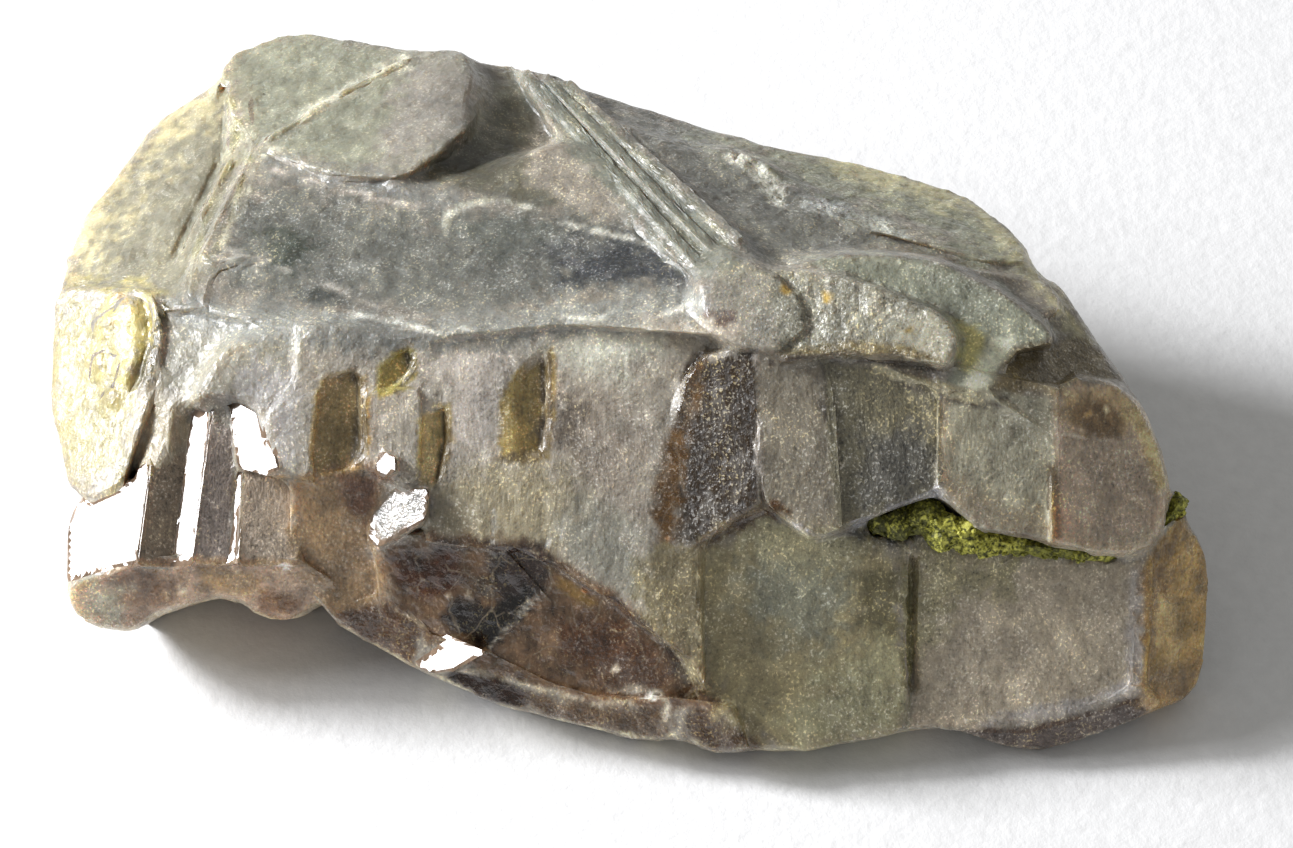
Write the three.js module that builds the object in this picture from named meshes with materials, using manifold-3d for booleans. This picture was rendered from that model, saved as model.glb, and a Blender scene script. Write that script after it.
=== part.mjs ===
// A broken axinite crystal group lying on its flat underside, in millimetres, +Z up.
// The crystal is a flat wedge of grown plates. Its broad stepped face looks up and to the front,
// turned up by FACE_TILT from lying flat. Every plate is described in that face's own frame:
// u to the right, v up the face, w out of the face.
import * as THREE from 'three';
import { ConvexGeometry } from 'three/addons/geometries/ConvexGeometry.js';
import { mergeVertices } from 'three/addons/utils/BufferGeometryUtils.js';
import Module from 'manifold-3d';

const FACE_TILT = 40; // degrees that the broad face is turned up from lying flat
const FACE_HEIGHT = 4.75; // height of the face frame's origin over the resting plane
const ROOT_DEPTH = -14; // how far behind the face frame's origin the plates root
const PLATE_OVERLAP = 0.03; // how far every plate reaches into its neighbours
const SKIRT_DEPTH = 1.2; // how far down a raised plate's edge spreads outwards
const RIB_WIDTH = 0.55;
const RIB_HEIGHT = 0.2;
const FAINT_RIB_HEIGHT = 0.1;
const GROOVE_WIDTH = 0.4;
const GROOVE_DEPTH = 0.3;
const BAR_ROOT = 0.05; // how far a rib starts under its facet, or a groove over it
const KNOB_RADIUS = 0.55;
const KNOB_SINK = 0.2; // how far a knob's middle lies under the facet
const CHIP_RADIUS = 0.42;
const CHIP_SINK = 0.15;
const WINDOW_REACH = 3; // how far a cut reaches out of the face
const FINEST_EDGE = 0.02; // shorter edges and flatter steps than this are merged
const SEAM_CLEARANCE = 0.1; // between the chlorite grains and the wall of their pocket
const GRAINS_PER_STATION = 2;
const GRAIN_SCATTER = 0.6; // of a grain's place round its station, in parts of its radius
const GRAIN_SQUASH = [0.8, 1.2]; // least and most stretch of a grain across
const SEAM_LINK_SIZE = 0.8; // half thickness of a link, in parts of a grain's radius
const SHARPEST_MITRE = 0.5; // keeps a spread outline's corner from running far out
const SAME_POINT = 1e-5; // points nearer than this are one
const KNOB_SEED = 41;
const SEAM_SEED = 97;
const STREAM_FACTOR = 16807;
const STREAM_MODULUS = 2147483647;
const CRYSTAL_COLOR = 0x9a8f80;
const CRYSTAL_ROUGHNESS = 0.5;
const SEAM_COLOR = 0x8a8f3a;
const SEAM_ROUGHNESS = 0.9;

const wasm = await Module();
wasm.setup();

// Face frame and solids

const faceTurn = new THREE.Matrix4()
  .makeTranslation(0, 0, FACE_HEIGHT)
  .multiply(new THREE.Matrix4().makeRotationX(THREE.MathUtils.degToRad(FACE_TILT)));

function onFace(u, v, w) {
  return new THREE.Vector3(u, v, w).applyMatrix4(faceTurn);
}

function toSolid(geometry) {
  const bare = geometry.index ? geometry.toNonIndexed() : geometry.clone();
  bare.deleteAttribute('normal');
  bare.deleteAttribute('uv');
  const merged = mergeVertices(bare, SAME_POINT);
  return new wasm.Manifold(new wasm.Mesh({
    numProp: 3,
    vertProperties: new Float32Array(merged.attributes.position.array),
    triVerts: new Uint32Array(merged.index.array),
  }));
}

function toGeometry(solid) {
  const mesh = solid.asOriginal().simplify(FINEST_EDGE).getMesh();
  const geometry = new THREE.BufferGeometry();
  geometry.setAttribute('position', new THREE.BufferAttribute(mesh.vertProperties, 3));
  geometry.setIndex(new THREE.BufferAttribute(mesh.triVerts, 1));
  geometry.computeVertexNormals();
  return geometry;
}

function joinAll(solids) {
  return solids.reduce((whole, solid) => whole.add(solid));
}

// The largest body of a solid, without the crumbs that cuts leave loose.
function mainBody(solid) {
  return solid.decompose().reduce((best, body) => (body.volume() > best.volume() ? body : best));
}

function hull(points) {
  return toSolid(new ConvexGeometry(points));
}

// Moves each corner of an outline outwards by the same distance from both its sides.
function spread(outline, distance) {
  const turn = Math.sign(THREE.ShapeUtils.area(outline));
  return outline.map((corner, i) => {
    const before = outline.at(i - 1);
    const after = outline[(i + 1) % outline.length];
    const sideIn = corner.clone().sub(before).normalize();
    const sideOut = after.clone().sub(corner).normalize();
    const along = sideIn.clone().add(sideOut).normalize();
    const outwards = new THREE.Vector2(along.y, -along.x).multiplyScalar(turn);
    const reach = distance / Math.max(SHARPEST_MITRE, along.dot(sideIn));
    return corner.clone().addScaledVector(outwards, reach);
  });
}

// A closed solid from rings of corners, one above the other, capped by the outline's triangles.
function stack(outline, rings) {
  const count = outline.length;
  const caps = THREE.ShapeUtils.triangulateShape(outline, []);
  const index = caps.flat();
  const bottom = (rings.length - 1) * count;
  caps.forEach(([a, b, c]) => index.push(bottom + a, bottom + c, bottom + b));
  for (let ring = 0; ring < rings.length - 1; ring++) {
    for (let i = 0; i < count; i++) {
      const j = (i + 1) % count;
      const upper = ring * count;
      const lower = upper + count;
      index.push(upper + i, lower + i, lower + j);
      index.push(upper + i, lower + j, upper + j);
    }
  }
  const geometry = new THREE.BufferGeometry().setFromPoints(rings.flat());
  geometry.setIndex(index);
  return toSolid(geometry);
}

function facetHeight({ level, across, up }, u, v) {
  return level + across * u + up * v;
}

function asOutline(corners) {
  const outline = corners.map(([u, v]) => new THREE.Vector2(u, v));
  if (THREE.ShapeUtils.isClockWise(outline)) {
    outline.reverse();
  }
  return outline;
}

// A plate: a flat facet on top, sides that spread over SKIRT_DEPTH, then straight to the root.
function plate(facet) {
  const outline = spread(asOutline(facet.corners), PLATE_OVERLAP);
  const foot = facet.flare ? spread(outline, facet.flare) : outline;
  const top = outline.map((p) => onFace(p.x, p.y, facetHeight(facet, p.x, p.y)));
  const skirt = foot.map((p) => onFace(p.x, p.y, facetHeight(facet, p.x, p.y) - SKIRT_DEPTH));
  const root = foot.map((p) => onFace(p.x, p.y, ROOT_DEPTH));
  return stack(outline, facet.flare ? [top, skirt, root] : [top, root]);
}

// A window: what stands over a small sunken facet, to be cut away.
function windowCut(facet) {
  const outline = asOutline(facet.corners);
  const rings = [WINDOW_REACH, 0].map((reach) => outline.map(
    (p) => onFace(p.x, p.y, facetHeight(facet, p.x, p.y) + reach),
  ));
  return stack(outline, rings);
}

// A three-sided bar along a line on a facet: a rib when height is positive, a groove when not.
function bar(facet, from, to, width, height) {
  const start = new THREE.Vector2(...from);
  const end = new THREE.Vector2(...to);
  const along = end.clone().sub(start).normalize();
  const side = new THREE.Vector2(-along.y, along.x).multiplyScalar(width / 2);
  const points = [start, end].flatMap((p) => {
    const base = facetHeight(facet, p.x, p.y);
    return [
      onFace(p.x + side.x, p.y + side.y, base - Math.sign(height) * BAR_ROOT),
      onFace(p.x - side.x, p.y - side.y, base - Math.sign(height) * BAR_ROOT),
      onFace(p.x, p.y, base + height),
      onFace(p.x, p.y, base - height),
    ];
  });
  return hull(points);
}

function bars(facet, points, width, height) {
  return joinAll(points.slice(1).map((to, i) => bar(facet, points[i], to, width, height)));
}

// A repeatable stream of numbers from 0 to 1.
function stream(seed) {
  let state = seed;
  return () => {
    state = (state * STREAM_FACTOR) % STREAM_MODULUS;
    return state / STREAM_MODULUS;
  };
}

// A many-sided grain round a point in the face frame, a little squashed and turned at random.
function grain(centre, radius, random) {
  const geometry = new THREE.IcosahedronGeometry(radius, 0);
  const angle = () => 2 * Math.PI * random();
  const stretch = () => THREE.MathUtils.lerp(...GRAIN_SQUASH, random());
  const place = new THREE.Matrix4().compose(
    onFace(...centre),
    new THREE.Quaternion().setFromEuler(new THREE.Euler(angle(), angle(), angle())),
    new THREE.Vector3(stretch(), stretch(), GRAIN_SQUASH[0]),
  );
  return toSolid(geometry.applyMatrix4(place));
}

// Facets of the crystal: level at the frame's origin, slope across and up the face, corners

const backFacets = {
  leftBack: {
    level: 12.9, across: 0.65, up: -1.17,
    corners: [[-15.6, 3.4], [-15.6, 4.6], [-15.2, 5.6], [-14.6, 6.4], [-13.9, 7.3], [-13.4, 8.3],
      [-12.3, 8.9], [-11.7, 9.3], [-10.8, 8.8], [-10.5, 7.4], [-10.7, 5.8], [-11.3, 4.6],
      [-11.6, 3.0], [-13.0, 3.0]],
  },
  raisedPlate: {
    level: 9.48, across: 0.2, up: -1.34,
    corners: [[-11.7, 9.2], [-11.2, 10.3], [-9.5, 10.8], [-8.0, 10.5], [-6.4, 10.1], [-5.7, 10.2],
      [-4.9, 10.2], [-4.5, 9.6], [-4.7, 7.8], [-5.4, 7.1], [-6.4, 6.5], [-8.1, 6.5], [-9.2, 6.9],
      [-10.3, 7.3], [-11.1, 8.2]],
  },
  hollow: {
    level: 4.75, across: -0.37, up: -1.23,
    corners: [[-5.1, 9.9], [-4.5, 9.8], [-3.4, 9.7], [-2.2, 9.3], [-1.8, 7.9], [-1.2, 6.5],
      [-2.7, 5.9], [-5.2, 6.0], [-6.7, 6.3], [-5.5, 8.2]],
  },
  upperMiddle: {
    level: 6.5, across: 0.12, up: -1.05,
    corners: [[-11.1, 6.1], [-10.3, 7.7], [-8.0, 7.1], [-6.3, 6.7], [-5.2, 6.45], [-3.2, 7.2],
      [-2.2, 7.6], [-1.2, 7.0], [1.6, 4.3], [1.5, 3.5],
      [-5.7, 4.1], [-9.1, 4.4], [-11.8, 4.1]],
  },
  lowerMiddle: {
    level: 6.48, across: 0.15, up: -1.01,
    corners: [[-11.8, 4.8], [-9.1, 4.8], [-5.7, 4.7], [1.4, 4.1], [2.6, 3.6], [2.4, 2.3],
      [-2.2, 2.6], [-5.6, 2.2], [-9.0, 2.4], [-12.0, 3.1]],
  },
  ribBed: {
    level: 7.77, across: 0.24, up: -1.24,
    corners: [[-3.6, 9.7], [-2.2, 9.3], [-1.1, 8.1], [0.8, 6.6], [2.8, 4.5], [2.7, 3.6],
      [1.4, 3.7], [-0.2, 5.2], [-1.4, 6.7], [-2.6, 8.0]],
  },
  rightUpper: {
    level: 15.13, across: -0.49, up: -2.27,
    corners: [[-2.4, 9.3], [-1.2, 8.9], [-0.1, 8.5], [1.7, 7.9], [2.7, 7.7], [3.4, 7.4],
      [5.5, 7.1], [6.5, 7.0], [7.6, 6.6], [8.7, 6.1], [9.3, 5.5], [10.1, 4.7], [10.1, 4.2],
      [9.0, 4.2], [7.4, 4.7], [5.8, 5.1], [4.6, 5.6], [3.9, 5.9], [3.3, 6.7], [2.0, 7.1],
      [1.1, 6.6], [-1.2, 7.8]],
  },
  rightLower: {
    level: 10.28, across: -0.32, up: -1.59,
    corners: [[-1.3, 8.2], [1.2, 7.4], [2.1, 7.3], [3.3, 6.9], [4.1, 6.3], [5.8, 5.5], [7.5, 4.9],
      [9.0, 4.5], [10.2, 4.3], [10.3, 3.8], [10.6, 3.6], [11.0, 3.0], [9.1, 2.5], [6.5, 3.0],
      [3.7, 3.3], [2.2, 3.9], [0.5, 6.3]],
  },
  rightEdge: {
    level: 12.15, across: -0.77, up: -0.89,
    corners: [[8.1, 4.0], [10.3, 3.8], [10.8, 3.7], [11.2, 3.1], [11.7, 2.3], [12.1, 1.7],
      [12.5, 1.2], [13.0, -0.1], [11.7, -0.4], [10.1, -0.1], [8.9, 0.6], [8.2, 2.4]],
  },
};

const frontFacets = {
  leftEnd: {
    level: 13.05, across: 0.83, up: -0.38,
    corners: [[-15.8, 2.3], [-15.6, 3.6], [-13.0, 3.6], [-12.6, 2.5], [-12.8, 1.0], [-13.6, -1.6],
      [-14.5, -2.0], [-15.2, -1.6], [-15.5, -0.4], [-15.8, 0.3], [-15.9, 1.1]],
  },
  kneeUpper: {
    level: 6.1, across: 0.3, up: -0.4,
    corners: [[-13.2, 1.0], [-12.9, 3.5], [-11.8, 3.4], [-9.0, 2.7], [-9.6, 1.4], [-11.6, 0.4],
      [-12.4, 0.6]],
  },
  kneeLower: {
    level: 8.5, across: 0.51, up: -0.17,
    corners: [[-13.0, 1.6], [-12.4, 1.0], [-12.35, -0.7], [-12.9, -0.9], [-13.8, -1.5],
      [-14.6, -1.8], [-14.4, -0.6]],
  },
  leftFrosted: {
    level: 3.62, across: 0.065, up: -0.12,
    corners: [[-12.0, 0.5], [-11.2, 2.0], [-9.2, 2.7], [-8.6, 2.7], [-8.6, -1.5], [-9.6, -1.2],
      [-10.0, 0.4], [-10.6, 0.7]],
  },
  leftRaisedFrost: {
    level: 3.76, across: 0.065, up: -0.12, flare: 0.06,
    corners: [[-10.0, 0.5], [-8.4, 0.9], [-8.6, -0.5], [-8.7, -1.4], [-9.5, -1.2]],
  },
  middleRaisedFrost: {
    level: 3.55, across: 0.04, up: -0.02, flare: 0.06,
    corners: [[-7.3, 0.8], [-5.9, 1.0], [-5.8, 0.2], [-5.9, -1.5], [-6.3, -1.6], [-6.8, -1.3],
      [-7.2, -1.2]],
  },
  middleFrosted: {
    level: 3.39, across: 0.04, up: -0.01,
    corners: [[-9.1, 2.7], [-5.6, 2.4], [-2.2, 2.8], [1.1, 3.1], [2.3, 2.5], [2.8, 1.9],
      [1.5, 0.6], [1.4, -4.5], [1.5, -6.8], [1.1, -6.1], [-0.1, -5.2], [-0.8, -4.6],
      [-2.1, -3.8], [-3.4, -3.2], [-4.4, -3.2], [-5.7, -3.0], [-5.6, -1.7], [-6.3, -1.7],
      [-6.8, -1.3], [-7.6, -1.1], [-9.1, -1.4]],
  },
  plateKnot: {
    level: 5.33, across: 0.1, up: -0.4, flare: 0.3,
    corners: [[1.5, 3.9], [2.1, 4.3], [2.9, 4.0], [3.9, 3.3], [4.1, 2.5], [3.3, 1.9], [2.4, 2.0],
      [1.8, 2.4], [1.3, 3.1]],
  },
  tierBrown: {
    level: 3.28, across: 0.32, up: 0.08, flare: 0.1,
    corners: [[1.5, 1.8], [2.8, 1.9], [2.9, -2.1], [2.5, -2.3], [1.1, -3.2], [0.2, -3.0],
      [0.1, -1.7], [0.5, -0.4], [0.9, 1.0]],
  },
  tierStrip: {
    level: 3.99, across: 0.08, up: 0.1, flare: 0.1,
    corners: [[2.7, 2.0], [4.5, 1.8], [4.8, 0.6], [5.0, -2.7], [4.2, -2.9], [3.0, -2.0]],
  },
  tierDark: {
    level: 4.51, across: -0.04, up: 0.12, flare: 0.1,
    corners: [[4.5, 1.8], [7.6, 1.3], [7.6, -1.7], [6.0, -2.3], [4.9, -2.7], [4.7, -0.4]],
  },
  tierGrey: {
    level: 4.79, across: -0.04, up: 0.11, flare: 0.1,
    corners: [[7.5, 1.5], [10.5, 0.9], [10.6, -3.0], [9.5, -2.9], [8.5, -2.7], [7.5, -1.7]],
  },
  tierRight: {
    level: 9.62, across: -0.53, up: -0.12, flare: 0.15,
    corners: [[10.4, 0.8], [11.1, 1.2], [12.2, 1.0], [12.8, 0.4], [13.3, -0.7], [13.5, -1.7],
      [13.4, -2.5], [13.0, -3.1], [12.5, -3.3], [11.7, -3.3], [10.4, -3.0]],
  },
  lowPlate: {
    level: 5.57, across: -0.07, up: -0.47, flare: 0.1,
    corners: [[3.9, 4.2], [4.9, 4.4], [6.6, 4.4], [7.7, 4.2], [9.1, 3.5], [10.1, 2.7],
      [10.5, 2.3], [10.4, 2.1], [9.5, 1.9], [9.0, 1.3], [8.6, 0.7], [7.6, 0.9], [6.4, 1.3],
      [5.5, 1.7]],
  },
  topPlate: {
    level: 4.98, across: 0.15, up: -0.42, flare: 0.1,
    corners: [[1.3, 3.1], [1.8, 4.0], [3.0, 4.0], [5.1, 3.8], [6.9, 3.1], [7.7, 2.7], [7.9, 2.3],
      [7.9, 1.8], [7.6, 1.5], [6.5, 1.7], [5.1, 1.8], [3.4, 1.6], [3.2, 1.8], [2.5, 2.0],
      [2.2, 2.5], [1.5, 2.6]],
  },
  lowerTier: {
    level: 3.84, across: -0.03, up: 0.17,
    corners: [[-0.2, -2.9], [2.9, -1.8], [5.5, -2.1], [6.9, -2.6], [6.8, -4.6], [6.9, -6.3],
      [6.7, -8.0], [5.6, -8.2], [4.0, -8.5], [2.7, -8.5], [1.5, -8.5], [1.4, -7.2], [1.1, -6.1],
      [0.1, -5.2]],
  },
  rightBlock: {
    level: 3.55, across: -0.02, up: 0.17,
    corners: [[6.7, -2.3], [12.8, -2.9], [13.1, -3.5], [13.1, -5.1], [12.9, -7.1], [11.8, -7.5],
      [10.0, -8.0], [8.6, -8.0], [7.5, -7.9], [6.7, -8.0], [6.7, -6.3], [6.8, -5.1]],
  },
  amberEnd: {
    level: 12.69, across: -0.75, up: 0.15,
    corners: [[12.8, -1.8], [13.9, -1.8], [14.1, -2.6], [14.4, -2.9], [14.6, -3.4], [14.8, -4.3],
      [14.8, -5.4], [14.7, -5.9], [14.5, -6.7], [14.1, -7.2], [13.1, -7.5], [12.6, -7.3],
      [12.7, -5.1]],
  },
  rightHem: {
    level: 7.7, across: -0.1, up: 0.61,
    corners: [[8.2, -7.7], [10.0, -7.7], [11.8, -7.2], [12.9, -6.8], [13.4, -7.2], [13.1, -7.5],
      [12.0, -8.0], [11.0, -8.3], [10.3, -8.5], [9.4, -8.4], [8.8, -8.2], [8.2, -8.0]],
  },
  brownColumn: {
    level: 3.69, across: 0.03, up: 0.33,
    corners: [[-9.2, -1.3], [-7.6, -0.9], [-6.7, -1.1], [-5.5, -1.5], [-5.5, -3.2], [-6.5, -3.5],
      [-6.6, -4.8], [-8.0, -5.2], [-8.5, -4.6], [-9.2, -3.8]],
  },
  glassLeft: {
    level: 5.01, across: 0.14, up: 0.41,
    corners: [[-7.1, -3.0], [-5.6, -2.8], [-4.0, -2.9], [-2.5, -4.6], [-2.6, -5.7], [-4.2, -6.1],
      [-5.6, -5.6], [-6.8, -5.0]],
  },
  glassRight: {
    level: 4.52, across: 0.12, up: 0.32,
    corners: [[-4.4, -3.0], [-3.3, -3.0], [-2.0, -3.7], [-0.7, -4.5], [0.1, -5.2], [1.3, -6.1],
      [1.7, -6.8], [2.3, -7.5], [0.8, -7.6], [-1.3, -7.5], [-2.6, -7.1], [-4.3, -6.6],
      [-4.2, -5.6]],
  },
  glassHem: {
    level: 5.47, across: 0.21, up: 0.41,
    corners: [[-8.1, -4.8], [-6.9, -4.4], [-5.6, -5.5], [-4.2, -5.9], [-2.6, -6.7], [-1.3, -7.1],
      [0.6, -7.1], [2.3, -7.3], [2.7, -8.5], [1.5, -8.5], [1.1, -8.2], [0.2, -8.2], [-0.5, -8.2],
      [-1.0, -8.0], [-2.3, -7.7], [-3.6, -7.4], [-4.3, -7.1], [-5.5, -6.6], [-6.7, -6.0],
      [-8.1, -5.2]],
  },
};

// The glassy crest on the left: bright facets that all look the same way, dull ones between. Its
// strips run along one line, so the slopes of each give the same fall along that line.
const CREST_SLOPE = { across: 0.63, up: -0.2 };
const crestFacets = {
  brightFirst: {
    ...CREST_SLOPE, level: 10.43,
    corners: [[-15.1, -2.7], [-14.9, -2.1], [-14.6, -1.9], [-14.1, -1.9], [-13.3, -1.4],
      [-13.2, -1.1], [-12.83, -0.9], [-13.18, -3.6], [-14.1, -4.0], [-15.1, -4.4]],
  },
  dullFirst: {
    level: -3.17, across: -0.44, up: -0.06,
    corners: [[-12.83, -0.9], [-12.4, -0.8], [-12.4, 0.7], [-11.76, 0.7], [-12.33, -3.7],
      [-13.19, -3.65]],
  },
  brightSecond: {
    ...CREST_SLOPE, level: 9.51,
    corners: [[-11.75, 0.8], [-11.22, 0.85], [-11.8, -3.65], [-12.33, -3.7], [-11.94, -0.7]],
  },
  dullSecond: {
    level: 0.11, across: -0.2, up: -0.09,
    corners: [[-11.21, 0.9], [-10.5, 0.9], [-10.6, -0.2], [-10.83, -3.65], [-11.79, -3.6]],
  },
  brightThird: {
    ...CREST_SLOPE, level: 8.73,
    corners: [[-10.6, -0.2], [-10.38, -0.2], [-10.6, -3.6], [-10.82, -3.6]],
  },
  brightHook: {
    ...CREST_SLOPE, level: 9.16,
    corners: [[-10.8, 0.8], [-10.4, 1.0], [-9.8, 0.8], [-9.8, -0.5], [-9.6, -0.7], [-9.5, -1.2],
      [-9.8, -1.3], [-10.6, -1.1], [-10.7, -0.3]],
  },
  dullThird: {
    level: 0.51, across: -0.18, up: -0.09,
    corners: [[-10.45, -1.0], [-9.9, -1.1], [-9.5, -1.1], [-9.0, -1.3], [-9.0, -3.7], [-10.6, -3.65]],
  },
  hem: {
    level: 4.53, across: -0.01, up: 0.6,
    corners: [[-15.1, -4.2], [-14.1, -3.9], [-13.2, -3.5], [-11.8, -3.4], [-10.8, -3.5],
      [-9.0, -3.5], [-8.0, -4.2], [-8.0, -5.1], [-8.5, -4.6], [-8.8, -4.9], [-9.3, -5.1],
      [-9.8, -5.1], [-10.3, -4.9], [-10.6, -4.6], [-11.1, -4.5], [-11.5, -4.6], [-12.2, -4.8],
      [-12.8, -5.0], [-13.4, -5.4], [-14.0, -5.4], [-14.7, -5.2], [-15.0, -4.8]],
  },
  glintHexagon: {
    ...CREST_SLOPE, level: 7.48,
    corners: [[-7.0, -0.9], [-6.8, -0.7], [-6.4, -0.9], [-6.4, -1.2], [-6.8, -1.4], [-7.1, -1.2]],
  },
  glintBroad: {
    ...CREST_SLOPE, level: 6.68,
    corners: [[-6.7, -1.4], [-6.1, -1.7], [-5.6, -1.7], [-5.7, -2.5], [-6.6, -3.0], [-7.0, -3.2],
      [-7.2, -3.0], [-7.1, -2.2]],
  },
  glintLow: {
    ...CREST_SLOPE, level: 4.23,
    corners: [[-5.9, -5.4], [-5.2, -5.5], [-4.2, -5.9], [-5.0, -6.4], [-5.5, -6.5], [-6.0, -6.3]],
  },
};

// Small sunken side facets that show brown through the frost.
const windowFacets = [
  {
    level: -0.17, across: -0.38, up: 0.02,
    corners: [[-8.3, 1.2], [-7.5, 1.4], [-7.4, 1.0], [-7.4, -0.5], [-7.6, -1.1], [-8.6, -1.4],
      [-8.6, -0.5], [-8.5, 0.5]],
  },
  {
    level: 0.55, across: -0.37, up: 0,
    corners: [[-6.9, 1.4], [-6.1, 2.0], [-6.1, 1.4], [-6.5, 1.0], [-6.9, 0.8]],
  },
  {
    level: -0.15, across: -0.58, up: 0,
    corners: [[-5.8, 0.3], [-5.2, 0.5], [-5.2, -0.5], [-5.4, -1.6], [-5.8, -1.5]],
  },
  {
    level: 2.02, across: -0.36, up: 0,
    corners: [[-3.5, 1.1], [-2.6, 1.9], [-2.6, 0.3], [-2.7, -0.7], [-3.7, -1.0], [-3.8, 0.5]],
  },
];

// The broken back, ends and underside, each ring of corners at one height.
const shellRings = [
  { height: 0, corners: [[-12.4, -9], [14.2, -9], [14.4, -6], [13.2, -2], [11, 2], [8.6, 5.2],
    [4.6, 6.4], [-0.4, 7.6], [-5, 9.8], [-9.2, 11], [-11.8, 9], [-13.4, 5], [-13.8, 1]] },
  { height: 3.1, corners: [[-15.4, -9], [15.2, -9], [15, -4], [13.9, -1], [9.6, 5.6], [5, 7.1],
    [-0.2, 8.4], [-5, 10.7], [-9.4, 12], [-12.6, 9.6], [-14.6, 6], [-15.2, 1]] },
  { height: 12.8, corners: [[-19, -13], [18, -13], [16, 2], [11.5, 7.6], [6, 9.6], [0.2, 11.4],
    [-5, 13.8], [-10, 15.2], [-15.4, 12.4], [-17.6, 8]] },
];

function crystalShell() {
  return hull(shellRings.flatMap(
    ({ height, corners }) => corners.map(([x, y]) => new THREE.Vector3(x, y, height)),
  ));
}

// Pale ribs that run down the back slope to the raised tier, and one over the raised plate.
function crystalRibs() {
  const bandFeet = [[1.5, 3.8], [2.0, 4.1], [2.5, 4.5]];
  const bandTops = [[-3.5, 9.6], [-2.9, 9.4], [-2.3, 9.2]];
  const band = bandTops.map((top, i) => (
    bar(backFacets.ribBed, top, bandFeet[i], RIB_WIDTH, RIB_HEIGHT)
  ));
  const lone = bars(
    backFacets.raisedPlate, [[-6.2, 9.9], [-8.4, 8.6], [-10.2, 7.4]], RIB_WIDTH, FAINT_RIB_HEIGHT,
  );
  const tail = bar(backFacets.leftBack, [-10.9, 7.2], [-11.8, 5.2], RIB_WIDTH, FAINT_RIB_HEIGHT);
  return joinAll([...band, lone, tail]);
}

function crystalGrooves() {
  const leftFold = bars(
    backFacets.leftBack, [[-11.5, 9.3], [-11.4, 7.2], [-12.6, 4.2]], GROOVE_WIDTH, -GROOVE_DEPTH,
  );
  const tierSplit = bars(
    frontFacets.rightBlock, [[6.9, -3.4], [6.85, -5.2], [6.95, -6.9]], GROOVE_WIDTH, -GROOVE_DEPTH,
  );
  const leftCleft = bars(
    frontFacets.leftEnd, [[-13.2, 3.4], [-13.0, 2.2], [-13.4, 0.8]], GROOVE_WIDTH, -GROOVE_DEPTH,
  );
  return joinAll([leftFold, tierSplit, leftCleft]);
}

// Knobs on the pale left end and chips along the ledge of the right back slope.
function crystalKnobs() {
  const random = stream(KNOB_SEED);
  const leftKnobs = [[-13.5, 2.9], [-13.7, 2.1], [-13.5, 1.3], [-14.1, 2.5], [-14.2, 1.5],
    [-13.9, 0.6]];
  const ledgeChips = [[2.1, 7.1], [2.7, 6.9], [3.3, 6.6], [3.7, 6.1], [4.3, 5.7], [5.0, 5.5],
    [5.7, 5.2]];
  const knobs = leftKnobs.map(([u, v]) => (
    grain([u, v, facetHeight(frontFacets.leftEnd, u, v) - KNOB_SINK], KNOB_RADIUS, random)
  ));
  const chips = ledgeChips.map(([u, v]) => (
    grain([u, v, facetHeight(backFacets.rightLower, u, v) - CHIP_SINK], CHIP_RADIUS, random)
  ));
  return joinAll([...knobs, ...chips]);
}

// Chlorite grains along the cleft under the raised tier: place in the face frame and radius.
const seamStations = [
  { place: [6.1, -2.6, 3.1], radius: 0.35 },
  { place: [6.6, -2.5, 3.2], radius: 0.45 },
  { place: [7.2, -2.4, 3.3], radius: 0.55 },
  { place: [7.7, -2.7, 3.3], radius: 0.55 },
  { place: [8.2, -2.9, 3.2], radius: 0.5 },
  { place: [8.8, -3.0, 3.1], radius: 0.42 },
  { place: [9.5, -3.1, 3.0], radius: 0.32 },
  { place: [10.3, -3.2, 3.0], radius: 0.28 },
  { place: [11.2, -3.3, 2.9], radius: 0.26 },
  { place: [12.4, -3.3, 2.5], radius: 0.25, hidden: true },
  { place: [13.3, -2.7, 2.0], radius: 0.25, hidden: true },
  { place: [13.85, -2.1, 1.8], radius: 0.32 },
];

// The six points of an octahedron round a seam station.
function stationPoints({ place: [u, v, w] }, reach) {
  return [
    onFace(u + reach, v, w), onFace(u - reach, v, w), onFace(u, v + reach, w),
    onFace(u, v - reach, w), onFace(u, v, w + reach), onFace(u, v, w - reach),
  ];
}

// The seam: grains at each station that shows, and a link from each station to the next.
function seamBody(extra) {
  const random = stream(SEAM_SEED);
  const grains = seamStations.filter(({ hidden }) => !hidden).flatMap(({ place, radius }) => (
    Array.from({ length: GRAINS_PER_STATION }, () => {
      const moved = place.map((value) => value + GRAIN_SCATTER * radius * (random() - 0.5));
      return grain(moved, radius + extra, random);
    })
  ));
  const links = seamStations.slice(1).map((station, i) => hull(
    [seamStations[i], station].flatMap((end) => (
      stationPoints(end, SEAM_LINK_SIZE * end.radius + extra)
    )),
  ));
  return joinAll([...grains, ...links]);
}

function buildCrystal() {
  const facets = { ...backFacets, ...frontFacets, ...crestFacets };
  const whole = joinAll(Object.values(facets).map(plate))
    .add(crystalRibs())
    .add(crystalKnobs())
    .subtract(joinAll(windowFacets.map(windowCut)))
    .subtract(crystalGrooves())
    .subtract(seamBody(SEAM_CLEARANCE))
    .intersect(crystalShell());
  return mainBody(whole);
}

// Meshes, with the crystal's box centred over the origin

function namedMesh(name, solid, color, roughness) {
  const material = new THREE.MeshStandardMaterial({ color, roughness, metalness: 0 });
  const mesh = new THREE.Mesh(toGeometry(solid), material);
  mesh.name = name;
  return mesh;
}

const crystal = namedMesh('axinite_crystal', buildCrystal(), CRYSTAL_COLOR, CRYSTAL_ROUGHNESS);
const seam = namedMesh('chlorite_seam', seamBody(0), SEAM_COLOR, SEAM_ROUGHNESS);

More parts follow.
